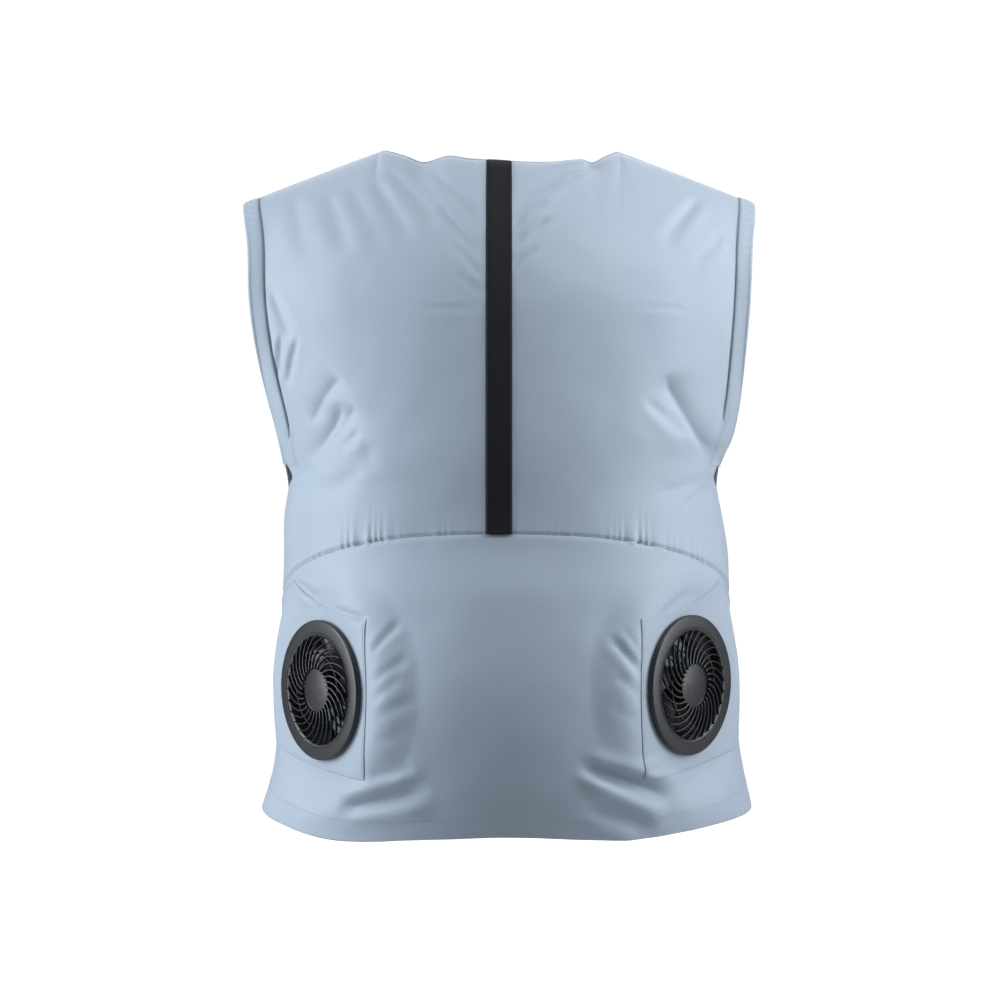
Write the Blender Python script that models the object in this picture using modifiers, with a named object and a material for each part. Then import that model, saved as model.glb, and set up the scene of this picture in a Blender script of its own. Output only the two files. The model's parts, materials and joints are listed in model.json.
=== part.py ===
# Fan-cooled work vest: a sleeveless cloth shell, blown up by two intake fans low on its back.
# +X is the wearer's right, +Y the wearer's front and +Z up. The origin lies midway between the two
# points where the shoulders meet the neck.
import math
from collections import namedtuple

import bmesh
import bpy
from mathutils import Matrix, Vector

# Cloth shell, lengths in metres; a drop is measured down from the origin
HEM_DROP = 0.677
UNDERARM_DROP = 0.318
WAIST_DROP = 0.389
WAIST_SIDE_DROP = 0.070
SHOULDER_DROP = 0.054
SHOULDER_HALF = 0.262
NECK_HALF = 0.121
NECK_BACK_DROP = 0.019
NECK_BACK_SET = 0.066
NECK_FRONT_DROP = 0.085
NECK_FRONT_SET = 0.100
BODY_HALF = 0.235
BACK_DEPTH = 0.222
FRONT_DEPTH = 0.170
ARMHOLE_SET = 0.075
CLOTH_WALL = 0.0015
SEAM_GAP = 0.0003
FOLD_DEPTH = 0.016
FOLD_WIDTH = 0.022
HEM_WAVE = 0.010

# Trim sewn on the shell
TAPE_WIDTH = 0.025
TAPE_WALL = 0.0012
BAND_WIDTH = 0.0165
BAND_WALL = 0.0012
PATCH_WALL = 0.0012
PATCH_FOOT_MARGIN = 0.057
PATCH_HEIGHT = 0.151
PATCH_FOOT_RISE = 0.035
PATCH_HEAD_RISE = 0.032
PATCH_WAIST_GAP = 0.008
ZIP_WIDTH = 0.024
ZIP_WALL = 0.0030
GUSSET_WIDTH = 0.064
GUSSET_TIP_WIDTH = 0.006

# Fan unit, turned about its own axis; heights are measured out from the cloth's outer face
FLANGE_RADIUS = 0.0675
FLANGE_THICK = 0.0047
OPENING_RADIUS = 0.0513
BARREL_WALL = 0.0024
BARREL_DEPTH = 0.0260
HOLE_CLEARANCE = 0.0006
GRILLE_THICK = 0.0024
GRILLE_DOME = 0.0030
RIB_COUNT = 28
RIB_WIDTH = 0.0017
RIB_SWEEP = 35.0
RIB_RING_RADIUS = 0.0358
RIB_RING_WIDTH = 0.0020
GRILLE_HUB_RADIUS = 0.0213
LOCK_RADIUS = 0.0650
LOCK_THICK = 0.0060
LOCK_GRIPS = 4
BLADE_COUNT = 7
BLADE_WALL = 0.0012
BLADE_PITCH = 34.0
IMPELLER_DEPTH = 0.0140
IMPELLER_HUB_RADIUS = 0.0190
RUNNING_GAP = 0.0018
GUARD_THICK = 0.0024
GUARD_ARMS = 6
GUARD_ARM_WIDTH = 0.0026
MOTOR_RADIUS = 0.0175
MOTOR_DEPTH = 0.0150
SHAFT_RADIUS = 0.0015
SHAFT_CLEARANCE = 0.0003
INLET_WIDTH = 0.0090
INLET_HEIGHT = 0.0070
FAN_INSET = 0.010
FLAT_MARGIN = 0.012
BLEND_WIDTH = 0.045
TURNED_SIDES = 36

# Angles round the body in degrees from the centre back, 90 at the side
FAN_TURN = 52.5
PATCH_TURN = 33.0

# Seam levels of the shell, from the hem up to the neck and shoulders
HEM, PATCH_FOOT, PATCH_HEAD, WAIST, BAND_FOOT, UNDERARM, TOP = range(7)
BACK_ROWS = (2, 8, 1, 3, 1, 8)
FRONT_ROWS = (2, 4, 1, 3, 1, 8)
# The chest closes over the shoulders from this share of its height
ROUND_FROM = 0.42
# Steps in degrees and in levels between the points that a wall's direction is read from
TURN_STEP = 0.2
LEVEL_STEP = 0.02

# Half widths: drop as a share of HEM_DROP, left and right as shares of BODY_HALF
Width = namedtuple("Width", "drop left right")
WIDTHS = (
    Width(0.40, 0.955, 0.975),
    Width(0.47, 0.940, 0.966),
    Width(0.51, 0.923, 0.953),
    Width(0.55, 0.938, 0.972),
    Width(0.62, 0.938, 0.998),
    Width(0.75, 0.943, 1.008),
    Width(0.85, 0.966, 1.036),
    Width(0.90, 0.972, 1.048),
    Width(0.94, 0.990, 1.068),
    Width(0.98, 1.028, 1.096),
    Width(1.00, 1.045, 1.104),
)

# Depths: drop as a share of HEM_DROP, back and front as shares of BACK_DEPTH and FRONT_DEPTH
Depth = namedtuple("Depth", "drop back front")
DEPTHS = (
    Depth(0.00, 0.60, 0.70),
    Depth(0.10, 0.68, 0.80),
    Depth(0.20, 0.75, 0.88),
    Depth(0.30, 0.80, 0.94),
    Depth(0.45, 0.86, 0.97),
    Depth(0.58, 0.87, 0.98),
    Depth(0.67, 0.94, 0.99),
    Depth(0.80, 1.00, 1.00),
    Depth(0.92, 0.96, 0.98),
    Depth(1.00, 0.88, 0.94),
)

# Armhole edge: rise from the underarm (0) to the shoulder (1); left and right as shares of the way
# out to SHOULDER_HALF, set as a share of the way out to ARMHOLE_SET, bow the roundness of the back
Armhole = namedtuple("Armhole", "rise left right set bow")
ARMHOLES = (
    Armhole(0.00, 0.00, 0.00, 0.00, 1.00),
    Armhole(0.08, 0.05, 0.26, 0.30, 1.12),
    Armhole(0.20, 0.26, 0.42, 0.65, 1.35),
    Armhole(0.40, 0.52, 0.55, 0.95, 1.60),
    Armhole(0.60, 0.69, 0.68, 1.00, 1.75),
    Armhole(0.80, 0.77, 0.79, 0.95, 1.75),
    Armhole(1.00, 1.00, 1.00, 0.80, 1.60),
)

# Folds of the back: ends as shares of BODY_HALF across and HEM_DROP down, depth and width as shares
# of FOLD_DEPTH and FOLD_WIDTH; a negative depth stands out
Fold = namedtuple("Fold", "across0 drop0 across1 drop1 depth width")
FOLDS = (
    Fold(-0.60, 0.36, -0.64, 0.41, 0.9, 0.8),
    Fold(-0.63, 0.41, -0.90, 0.51, 1.2, 0.9),
    Fold(-0.58, 0.45, -0.88, 0.56, -0.6, 0.9),
    Fold(0.68, 0.33, 0.92, 0.47, 1.1, 0.9),
    Fold(0.56, 0.40, 0.90, 0.50, 0.7, 0.8),
    Fold(0.64, 0.53, 0.90, 0.49, 0.7, 0.8),
    Fold(0.62, 0.39, 0.88, 0.52, -0.5, 0.9),
    Fold(-0.46, 0.05, -0.08, 0.17, 0.6, 0.8),
    Fold(-0.30, 0.05, -0.08, 0.12, 0.5, 0.6),
    Fold(0.40, 0.05, 0.08, 0.15, 0.6, 0.8),
    Fold(0.40, 0.08, 0.08, 0.24, 0.5, 0.8),
    Fold(-0.78, 0.10, -0.66, 0.29, 0.5, 1.0),
    Fold(0.76, 0.12, 0.66, 0.30, 0.5, 1.0),
    Fold(-0.35, 0.26, -0.08, 0.25, 0.4, 0.8),
    Fold(0.58, 0.25, 0.78, 0.25, 0.4, 0.8),
    Fold(-0.64, 0.95, -0.35, 0.90, 0.9, 0.8),
    Fold(0.38, 0.90, 0.68, 0.94, 0.7, 0.8),
    Fold(0.48, 0.92, 0.62, 0.98, 0.5, 0.7),
    Fold(-0.30, 0.83, -0.10, 0.78, 0.4, 0.9),
    Fold(0.34, 0.84, 0.14, 0.79, 0.4, 0.9),
)

# Hem height: turn in degrees, lift as a share of HEM_WAVE
Wave = namedtuple("Wave", "turn lift")
HEM_WAVES = (
    Wave(-90, 0.9),
    Wave(-62, 0.3),
    Wave(-40, -0.4),
    Wave(-14, 0.3),
    Wave(4, 0.6),
    Wave(28, 0.0),
    Wave(44, 0.3),
    Wave(60, 0.6),
    Wave(90, 0.9),
)

# Where each fan sits: side of the body, and its centre as a share of PATCH_HEIGHT up from the patch's foot
Fan = namedtuple("Fan", "name side rise")
FANS = (
    Fan("left", -1, 0.528),
    Fan("right", 1, 0.560),
)

# Colours as linear RGB, with roughness and metallic
Finish = namedtuple("Finish", "color roughness metallic")
POPLIN = Finish((0.47, 0.56, 0.66), 0.62, 0.0)
TWILL = Finish((0.012, 0.012, 0.014), 0.80, 0.0)
MESH = Finish((0.020, 0.020, 0.024), 0.85, 0.0)
PLASTIC = Finish((0.030, 0.032, 0.038), 0.38, 0.0)

PATCH_FOOT_DROP = HEM_DROP - PATCH_FOOT_MARGIN
PATCH_HEAD_DROP = PATCH_FOOT_DROP - PATCH_HEIGHT
HOLE_RADIUS = OPENING_RADIUS + BARREL_WALL + HOLE_CLEARANCE
FLANGE_SEAT = SEAM_GAP + PATCH_WALL + SEAM_GAP
FLANGE_TOP = FLANGE_SEAT + FLANGE_THICK
GRILLE_RIM = FLANGE_TOP - 0.0010
BARREL_END = -BARREL_DEPTH
GUSSET_HALF = math.degrees(math.asin(GUSSET_WIDTH / 2 / (BACK_DEPTH * 0.865)))
GUSSET_TIP = math.degrees(math.asin(GUSSET_TIP_WIDTH / 2 / (BACK_DEPTH * 0.88)))
REACH = 90 - GUSSET_HALF
GAP_TURN = math.degrees(SEAM_GAP / BACK_DEPTH)


def smooth(share):
    share = min(max(share, 0.0), 1.0)
    return share * share * (3 - 2 * share)


def mix(start, end, share):
    return start + (end - start) * share


def read(rows, column, at):
    """Value of a table's column at a place on its first column, as a smooth curve through the rows"""
    places = [row[0] for row in rows]
    values = [getattr(row, column) for row in rows]
    if at <= places[0]:
        return values[0]
    if at >= places[-1]:
        return values[-1]
    k = max(i for i, place in enumerate(places) if place <= at)
    slopes = []
    for i in (k, k + 1):
        before, after = max(i - 1, 0), min(i + 1, len(rows) - 1)
        slopes.append((values[after] - values[before]) / (places[after] - places[before]))
    span = places[k + 1] - places[k]
    t = (at - places[k]) / span
    return (values[k] * (1 + 2 * t) * (1 - t) ** 2 + slopes[0] * span * t * (1 - t) ** 2
            + values[k + 1] * t * t * (3 - 2 * t) + slopes[1] * span * t * t * (t - 1))


def half_width(turn, drop):
    return BODY_HALF * read(WIDTHS, "right" if turn > 0 else "left", drop / HEM_DROP)


def depth_at(turn, drop):
    if abs(turn) <= 90:
        return BACK_DEPTH * read(DEPTHS, "back", drop / HEM_DROP)
    return FRONT_DEPTH * read(DEPTHS, "front", drop / HEM_DROP)


def round_body(turn, drop):
    """Outer face below the underarm before the fans flatten it"""
    angle = math.radians(turn)
    return Vector((half_width(turn, drop) * math.sin(angle), -depth_at(turn, drop) * math.cos(angle), -drop))


def fan_axis(fan):
    """Centre of a fan on the cloth's outer face, and the level direction that it looks in"""
    turn, drop = FAN_TURN * fan.side, PATCH_FOOT_DROP - fan.rise * PATCH_HEIGHT
    along = round_body(turn + 1, drop) - round_body(turn - 1, drop)
    outward = Vector((along.y, -along.x, 0)).normalized()
    return round_body(turn, drop) - outward * FAN_INSET, outward


FAN_AXES = [fan_axis(fan) for fan in FANS]


def flatten(point):
    """The stiff flange pulls the cloth round each fan into its plane"""
    for centre, outward in FAN_AXES:
        away = point - centre
        height = away.dot(outward)
        radius = (away - outward * height).length
        if away.length < FLANGE_RADIUS * 3:
            hold = 1 - smooth((radius - FLANGE_RADIUS - FLAT_MARGIN) / BLEND_WIDTH)
            point = point - outward * height * hold
    return point


def top_edge(turn, x):
    """Height and set of the neckline or of the shoulder ridge at a distance from the middle"""
    ridge = (abs(x) - NECK_HALF) / (SHOULDER_HALF - NECK_HALF)
    face = -1 if abs(turn) <= 90 else 1
    if ridge >= 0:
        return -SHOULDER_DROP * ridge ** 1.05, face * SEAM_GAP / 2
    across = math.sqrt(max(0.0, 1 - (x / NECK_HALF) ** 2))
    drop, setting = (NECK_BACK_DROP, NECK_BACK_SET) if face < 0 else (NECK_FRONT_DROP, NECK_FRONT_SET)
    return -drop * across ** 2, face * (SEAM_GAP / 2 + setting * across)


def chest(turn, rise):
    """Outer face above the underarm, between the armholes; rise runs from 0 up to 1 at the top"""
    side = "right" if turn > 0 else "left"
    face = -1 if abs(turn) <= 90 else 1
    angle = math.radians(abs(turn) if face < 0 else 180 - abs(turn))
    reach = math.radians(REACH)
    start = half_width(turn, UNDERARM_DROP) * math.sin(reach)
    edge = mix(start, SHOULDER_HALF, read(ARMHOLES, side, rise))
    x = math.copysign(edge * math.sin(angle) / math.sin(reach), turn)
    top, setting = top_edge(turn, x)
    z = mix(-UNDERARM_DROP, top, rise)
    depth = depth_at(turn, -z)
    edge_set = depth_at(turn, UNDERARM_DROP) * math.cos(reach)
    edge_set = mix(edge_set, ARMHOLE_SET, read(ARMHOLES, "set", rise))
    bow = max(0.0, (math.cos(angle) - math.cos(reach)) / (1 - math.cos(reach)))
    out = edge_set + (depth - edge_set) * bow ** read(ARMHOLES, "bow", rise)
    closing = math.sqrt(max(0.0, 1 - (max(0.0, rise - ROUND_FROM) / (1 - ROUND_FROM)) ** 2))
    return Vector((x, mix(setting, face * out, closing), z))


def seam_drop(level, turn):
    """How far down a seam level lies at an angle round the body"""
    away = min(abs(turn), 90)
    waist = WAIST_DROP + WAIST_SIDE_DROP * (1 - math.cos(math.radians(away))) ** 1.2
    outer = max(0.0, away - PATCH_TURN) / (90 - PATCH_TURN)
    drops = {
        HEM: HEM_DROP - HEM_WAVE * read(HEM_WAVES, "lift", max(-90, min(turn, 90))),
        PATCH_FOOT: PATCH_FOOT_DROP - PATCH_FOOT_RISE * outer ** 2,
        PATCH_HEAD: max(PATCH_HEAD_DROP - PATCH_HEAD_RISE * 3 * outer ** 2, waist + PATCH_WAIST_GAP),
        WAIST: waist,
        BAND_FOOT: UNDERARM_DROP + BAND_WIDTH,
        UNDERARM: UNDERARM_DROP,
    }
    return drops[level]


def drop_at(turn, level):
    low = min(int(level), BAND_FOOT)
    return mix(seam_drop(low, turn), seam_drop(low + 1, turn), level - low)


def face_point(turn, level):
    if level <= UNDERARM:
        return flatten(round_body(turn, drop_at(turn, level)))
    return chest(turn, level - UNDERARM)


def fold_height(point):
    """How far the folds push a point of the back in (negative) or out"""
    height = 0.0
    if point.y > 0:
        return height
    across, drop = point.x / BODY_HALF, -point.z / HEM_DROP
    stretch = Vector((BODY_HALF, HEM_DROP))
    for fold in FOLDS:
        start = Vector((fold.across0, fold.drop0)) * stretch
        run = Vector((fold.across1, fold.drop1)) * stretch - start
        away = Vector((across, drop)) * stretch - start
        share = away.dot(run) / run.length_squared
        near = away - run * min(max(share, 0.0), 1.0)
        ends = smooth(share * 4 + 0.6) * smooth((1 - share) * 4 + 0.6)
        height -= fold.depth * FOLD_DEPTH * ends * math.exp(-(near.length / (fold.width * FOLD_WIDTH)) ** 2)
    for centre, outward in FAN_AXES:
        away = (point - centre)
        radius = (away - outward * away.dot(outward)).length
        height *= smooth((radius - FLANGE_RADIUS - FLAT_MARGIN) / BLEND_WIDTH)
    calm = smooth(-point.y / 0.03)
    return height * calm


def place(turn, level, shift=0.0):
    """A node of the shell: its folded outer point and the direction that its wall is measured in"""
    point = face_point(turn, level)
    before, after = face_point(turn - TURN_STEP, level), face_point(turn + TURN_STEP, level)
    if level > UNDERARM:
        lower, upper = face_point(turn, level - LEVEL_STEP / 8), point
    else:
        lower = face_point(turn, max(HEM, level - LEVEL_STEP))
        upper = face_point(turn, min(UNDERARM, level + LEVEL_STEP))
    outward = (after - before).cross(upper - lower).normalized()
    folded = point + outward * fold_height(point)
    folded.z += shift
    return folded, outward


def edge_turn(level):
    """Where the panels end at the side: the mesh gusset narrows from the underarm to the waist"""
    if level >= UNDERARM:
        return REACH
    if level >= WAIST:
        return 90 - mix(GUSSET_TIP, GUSSET_HALF, (level - WAIST) / (UNDERARM - WAIST))
    if level >= PATCH_HEAD:
        return 90 - GUSSET_TIP * (level - PATCH_HEAD)
    return 90


def turn_of(x, level, side, front=False):
    """Angle round the body at which the shell lies a distance x from the middle"""
    if level > UNDERARM:
        start = half_width(side, UNDERARM_DROP) * math.sin(math.radians(REACH))
        edge = mix(start, SHOULDER_HALF, read(ARMHOLES, "right" if side > 0 else "left", level - UNDERARM))
        half = edge / math.sin(math.radians(REACH))
    else:
        half = half_width(side, drop_at(180 * side if front else 0, level))
    return math.degrees(math.asin(min(x / half, 1.0)))


def spread(marks, counts):
    """Angles through marks, with so many equal cells between each two"""
    turns = [marks[0]]
    for start, end, count in zip(marks, marks[1:], counts):
        turns += [mix(start, end, (i + 1) / count) for i in range(count)]
    return turns


def back_turns(level, side):
    """Column angles from the centre back out to the side edge"""
    edge = edge_turn(level) - GAP_TURN
    lower = spread((0, PATCH_TURN, edge), (4, 7))
    edge_x = half_width(side, UNDERARM_DROP)
    if level > UNDERARM:
        edge_x = abs(chest(REACH * side, level - UNDERARM).x)
    band = turn_of(edge_x - BAND_WIDTH, level, side)
    marks = (0, turn_of(TAPE_WIDTH / 2, level, side), turn_of(NECK_HALF, level, side), band, edge)
    upper = spread(marks, (1, 4, 5, 1))
    share = min(max(level - PATCH_HEAD, 0.0), 1.0)
    return [side * mix(low, high, share) for low, high in zip(lower, upper)]


def front_turns(level, side):
    """Column angles from the zip out to the side edge"""
    edge = edge_turn(level) - GAP_TURN
    edge_x = half_width(side, UNDERARM_DROP)
    if level > UNDERARM:
        edge_x = abs(chest((180 - REACH) * side, level - UNDERARM).x)
    band = turn_of(edge_x - BAND_WIDTH, level, side, True)
    marks = (turn_of(ZIP_WIDTH / 2 + SEAM_GAP, level, side, True), turn_of(NECK_HALF, level, side, True),
             band, edge)
    return [side * (180 - turn) for turn in spread(marks, (3, 3, 1))]


def levels(rows, first, last):
    """Row levels from one seam to another; they crowd together where the shoulders close"""
    found = [float(first)]
    for level in range(first, last):
        count = rows[level]
        for i in range(1, count + 1):
            share = i / count
            if level == UNDERARM:
                share = math.sin(share * math.pi / 2) ** 0.9
            found.append(level + share)
    return found


def seam_shift(level, first, last):
    """Pulls the first and last rows of a panel off the seam that they share with the next panel"""
    if level == first and first == WAIST:
        return SEAM_GAP / 2
    if level == last and last == WAIST:
        return -SEAM_GAP / 2
    return 0.0


def link(obj, collection, finish):
    collection.objects.link(obj)
    material = bpy.data.materials.new(obj.name + "_finish")
    material.use_nodes = True
    shader = material.node_tree.nodes["Principled BSDF"]
    shader.inputs["Base Color"].default_value = (*finish.color, 1)
    shader.inputs["Roughness"].default_value = finish.roughness
    shader.inputs["Metallic"].default_value = finish.metallic
    obj.data.materials.clear()
    obj.data.materials.append(material)
    return obj


def cloth(name, grid, low, high, finish, ring=False):
    """One closed wall between two offsets of a grid of nodes; each cell is split along its outer diagonal,
    so that layers on the same nodes keep their gap"""
    model = bmesh.new()
    inner = [[model.verts.new(point + outward * low) for point, outward in row] for row in grid]
    outer = [[model.verts.new(point + outward * high) for point, outward in row] for row in grid]
    rows, columns = len(grid), len(grid[0])
    row_count = rows if ring else rows - 1

    def wall(a, b, c, d):
        corners = []
        for corner in (a, b, c, d):
            if corner not in corners:
                corners.append(corner)
        if len(corners) > 2:
            model.faces.new(corners)

    for i in range(row_count):
        for j in range(columns - 1):
            up = (i + 1) % rows
            cell = [grid[i][j], grid[i][j + 1], grid[up][j + 1], grid[up][j]]
            lift = cell[0][0] + cell[2][0] - cell[1][0] - cell[3][0]
            crossed = lift.dot(cell[0][1] + cell[2][1]) < 0
            for sheet, flip in ((outer, False), (inner, True)):
                a, b, c, d = sheet[i][j], sheet[i][j + 1], sheet[up][j + 1], sheet[up][j]
                halves = ((a, b, d), (b, c, d)) if crossed else ((a, b, c), (a, c, d))
                for half in halves:
                    model.faces.new(reversed(half) if flip else half)
    for i in range(row_count):
        up = (i + 1) % rows
        wall(inner[i][0], outer[i][0], outer[up][0], inner[up][0])
        wall(outer[i][-1], inner[i][-1], inner[up][-1], outer[up][-1])
    if not ring:
        for j in range(columns - 1):
            wall(outer[0][j], inner[0][j], inner[0][j + 1], outer[0][j + 1])
            wall(inner[-1][j], outer[-1][j], outer[-1][j + 1], inner[-1][j + 1])
    mesh = bpy.data.meshes.new(name)
    model.to_mesh(mesh)
    model.free()
    mesh.shade_smooth()
    mesh.set_sharp_from_angle(angle=math.radians(50))
    return link(bpy.data.objects.new(name, mesh), parts, finish)


def back_grid(first, last):
    grid = []
    for level in levels(BACK_ROWS, first, last):
        shift = seam_shift(level, first, last)
        turns = back_turns(level, -1)[:0:-1] + back_turns(level, 1)
        grid.append([place(turn, level, shift) for turn in turns])
    return grid


def patch_grid(side):
    """The patch lies on the lower back's own cells, from its inner seam to the side seam"""
    grid = []
    for level in levels(BACK_ROWS, PATCH_FOOT, PATCH_HEAD):
        turns = sorted(back_turns(level, side)[4:])
        grid.append([place(turn, level) for turn in turns])
    return grid


def front_grid(side):
    grid = []
    for level in levels(FRONT_ROWS, HEM, TOP):
        grid.append([place(turn, level) for turn in sorted(front_turns(level, side))])
    return grid


def gusset_grid(side):
    grid = []
    for level in levels(FRONT_ROWS, WAIST, UNDERARM):
        edge = edge_turn(level) + GAP_TURN
        turns = sorted(side * turn for turn in spread((edge, 90, 180 - edge), (2, 2)))
        grid.append([place(turn, level) for turn in turns])
    return grid


def zip_grid():
    grid = []
    for level in levels(FRONT_ROWS, HEM, TOP):
        half = turn_of(ZIP_WIDTH / 2 - SEAM_GAP, level, 1, True)
        other = turn_of(ZIP_WIDTH / 2 - SEAM_GAP, level, -1, True)
        grid.append([place(turn, level) for turn in (180 - half, -180 + other)])
    return grid


def tape_grid():
    grid = []
    for level in levels(BACK_ROWS, WAIST, TOP):
        turns = (back_turns(level, -1)[1], 0, back_turns(level, 1)[1])
        grid.append([place(turn, level, seam_shift(level, WAIST, TOP)) for turn in turns])
    return grid


def band_ring(side):
    """Pairs of nodes round an armhole: the edge, and the line a band's width in from it"""
    up = levels(BACK_ROWS, UNDERARM, TOP)
    ring = []
    for level in reversed(up):
        turns = back_turns(level, side)
        ring.append([place(turns[-1], level), place(turns[-2], level)])
    foot = back_turns(BAND_FOOT, side)
    ring.append([place(back_turns(UNDERARM, side)[-1], UNDERARM), place(foot[-2], BAND_FOOT)])
    mesh_rows = gusset_grid(side)
    mesh_pairs = [[top, low] for top, low in zip(mesh_rows[-1], mesh_rows[-2])]
    ring += mesh_pairs[::side]
    foot = front_turns(BAND_FOOT, side)
    ring.append([place(front_turns(UNDERARM, side)[-1], UNDERARM), place(foot[-2], BAND_FOOT)])
    for level in up:
        turns = front_turns(level, side)
        ring.append([place(turns[-1], level), place(turns[-2], level)])
    return ring if side > 0 else [pair[::-1] for pair in ring]


def turned(name, profile, sides=TURNED_SIDES):
    """Mesh turned about Z from a closed outline of radius and height, listed anticlockwise"""
    mesh = bpy.data.meshes.new(name)
    outline = bmesh.new()
    corners = [outline.verts.new((radius, 0, height)) for radius, height in profile]
    for start, end in zip(corners, corners[1:] + corners[:1]):
        outline.edges.new((start, end))
    bmesh.ops.spin(outline, geom=outline.verts[:] + outline.edges[:], axis=(0, 0, 1), cent=(0, 0, 0),
                   angle=math.tau, steps=sides, use_merge=True)
    bmesh.ops.remove_doubles(outline, verts=outline.verts[:], dist=0.00002)
    bmesh.ops.recalc_face_normals(outline, faces=outline.faces[:])
    outline.to_mesh(mesh)
    outline.free()
    return bpy.data.objects.new(name, mesh)


def cylinder(name, radius, low, high, sides=24):
    mesh = bpy.data.meshes.new(name)
    model = bmesh.new()
    bmesh.ops.create_cone(model, cap_ends=True, segments=sides, radius1=radius, radius2=radius,
                          depth=high - low, matrix=Matrix.Translation((0, 0, (low + high) / 2)))
    model.to_mesh(mesh)
    model.free()
    return bpy.data.objects.new(name, mesh)


def box(name, size, centre, turn=0.0):
    mesh = bpy.data.meshes.new(name)
    model = bmesh.new()
    scale = Matrix.Diagonal((*size, 1))
    bmesh.ops.create_cube(model, size=1, matrix=Matrix.Rotation(turn, 4, "Z") @ Matrix.Translation(centre) @ scale)
    model.to_mesh(mesh)
    model.free()
    return bpy.data.objects.new(name, mesh)


def combine(base, tools, operation="UNION"):
    """The base object's mesh with each tool joined to it, or cut from it"""
    parts.objects.link(base)
    for tool in tools:
        cutters.objects.link(tool)
        change = base.modifiers.new(tool.name, "BOOLEAN")
        change.operation = operation
        change.solver = "EXACT"
        change.object = tool
    bpy.context.view_layer.update()
    depsgraph = bpy.context.evaluated_depsgraph_get()
    mesh = bpy.data.meshes.new_from_object(base.evaluated_get(depsgraph))
    for tool in tools:
        bpy.data.objects.remove(tool)
    base.modifiers.clear()
    base.data = mesh
    parts.objects.unlink(base)
    return base


def grille():
    """Domed plate of swept ribs between the hub, one ring and the rim, pierced between the ribs"""
    rim = OPENING_RADIUS + BARREL_WALL / 2
    ring_in = RIB_RING_RADIUS - RIB_RING_WIDTH / 2
    ring_out = RIB_RING_RADIUS + RIB_RING_WIDTH / 2
    zones = (
        (GRILLE_HUB_RADIUS, ring_in, 1, True),
        (ring_in, ring_out, 1, False),
        (ring_out, rim, 2, True),
    )
    model = bmesh.new()

    def circle(radius):
        height = GRILLE_RIM - GRILLE_THICK / 2 + GRILLE_DOME * (1 - (radius / rim) ** 2)
        sweep = -math.radians(RIB_SWEEP) * (radius - GRILLE_HUB_RADIUS) / (rim - GRILLE_HUB_RADIUS)
        corners = []
        for i in range(RIB_COUNT):
            middle = math.tau * i / RIB_COUNT + sweep
            half = RIB_WIDTH / 2 / radius
            for angle in (middle - half, middle + half):
                corners.append(model.verts.new((radius * math.cos(angle), radius * math.sin(angle), height)))
        return corners

    inner = circle(GRILLE_HUB_RADIUS)
    model.faces.new(inner)
    for start, end, steps, pierced in zones:
        for i in range(steps):
            outer = circle(mix(start, end, (i + 1) / steps))
            for j in range(0, len(inner)):
                if pierced and j % 2:
                    continue
                following = (j + 1) % len(inner)
                model.faces.new((inner[j], outer[j], outer[following], inner[following]))
            inner = outer
    mesh = bpy.data.meshes.new("grille")
    model.to_mesh(mesh)
    model.free()
    plate = bpy.data.objects.new("grille", mesh)
    wall = plate.modifiers.new("wall", "SOLIDIFY")
    wall.thickness = GRILLE_THICK
    wall.offset = 0
    return plate


def fan_frame_mesh():
    outer = OPENING_RADIUS + BARREL_WALL
    chamfer = 0.0012
    profile = (
        (OPENING_RADIUS, BARREL_END),
        (outer, BARREL_END),
        (outer, FLANGE_SEAT),
        (FLANGE_RADIUS, FLANGE_SEAT),
        (FLANGE_RADIUS, FLANGE_TOP - chamfer * 1.5),
        (FLANGE_RADIUS - chamfer, FLANGE_TOP),
        (OPENING_RADIUS, FLANGE_TOP),
    )
    ring = turned("frame", profile)
    plate = grille()
    parts.objects.link(plate)
    depsgraph = bpy.context.evaluated_depsgraph_get()
    solid = bpy.data.meshes.new_from_object(plate.evaluated_get(depsgraph))
    plate.modifiers.clear()
    plate.data = solid
    parts.objects.unlink(plate)
    return combine(ring, [plate]).data


def lock_ring_mesh():
    inner = OPENING_RADIUS + BARREL_WALL + SEAM_GAP
    top = -CLOTH_WALL - SEAM_GAP
    profile = ((inner, top - LOCK_THICK), (LOCK_RADIUS - 0.0015, top - LOCK_THICK),
               (LOCK_RADIUS, top - 0.0015), (LOCK_RADIUS, top), (inner, top))
    ring = turned("lock", profile)
    grips = []
    for i in range(LOCK_GRIPS):
        centre = (LOCK_RADIUS - 0.0050, 0, top - LOCK_THICK - 0.0008)
        grips.append(box(f"grip_{i}", (0.0060, 0.0030, 0.0024), centre, math.tau * i / LOCK_GRIPS))
    return combine(ring, grips).data


def impeller_top():
    return GRILLE_RIM - GRILLE_THICK - RUNNING_GAP


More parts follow.
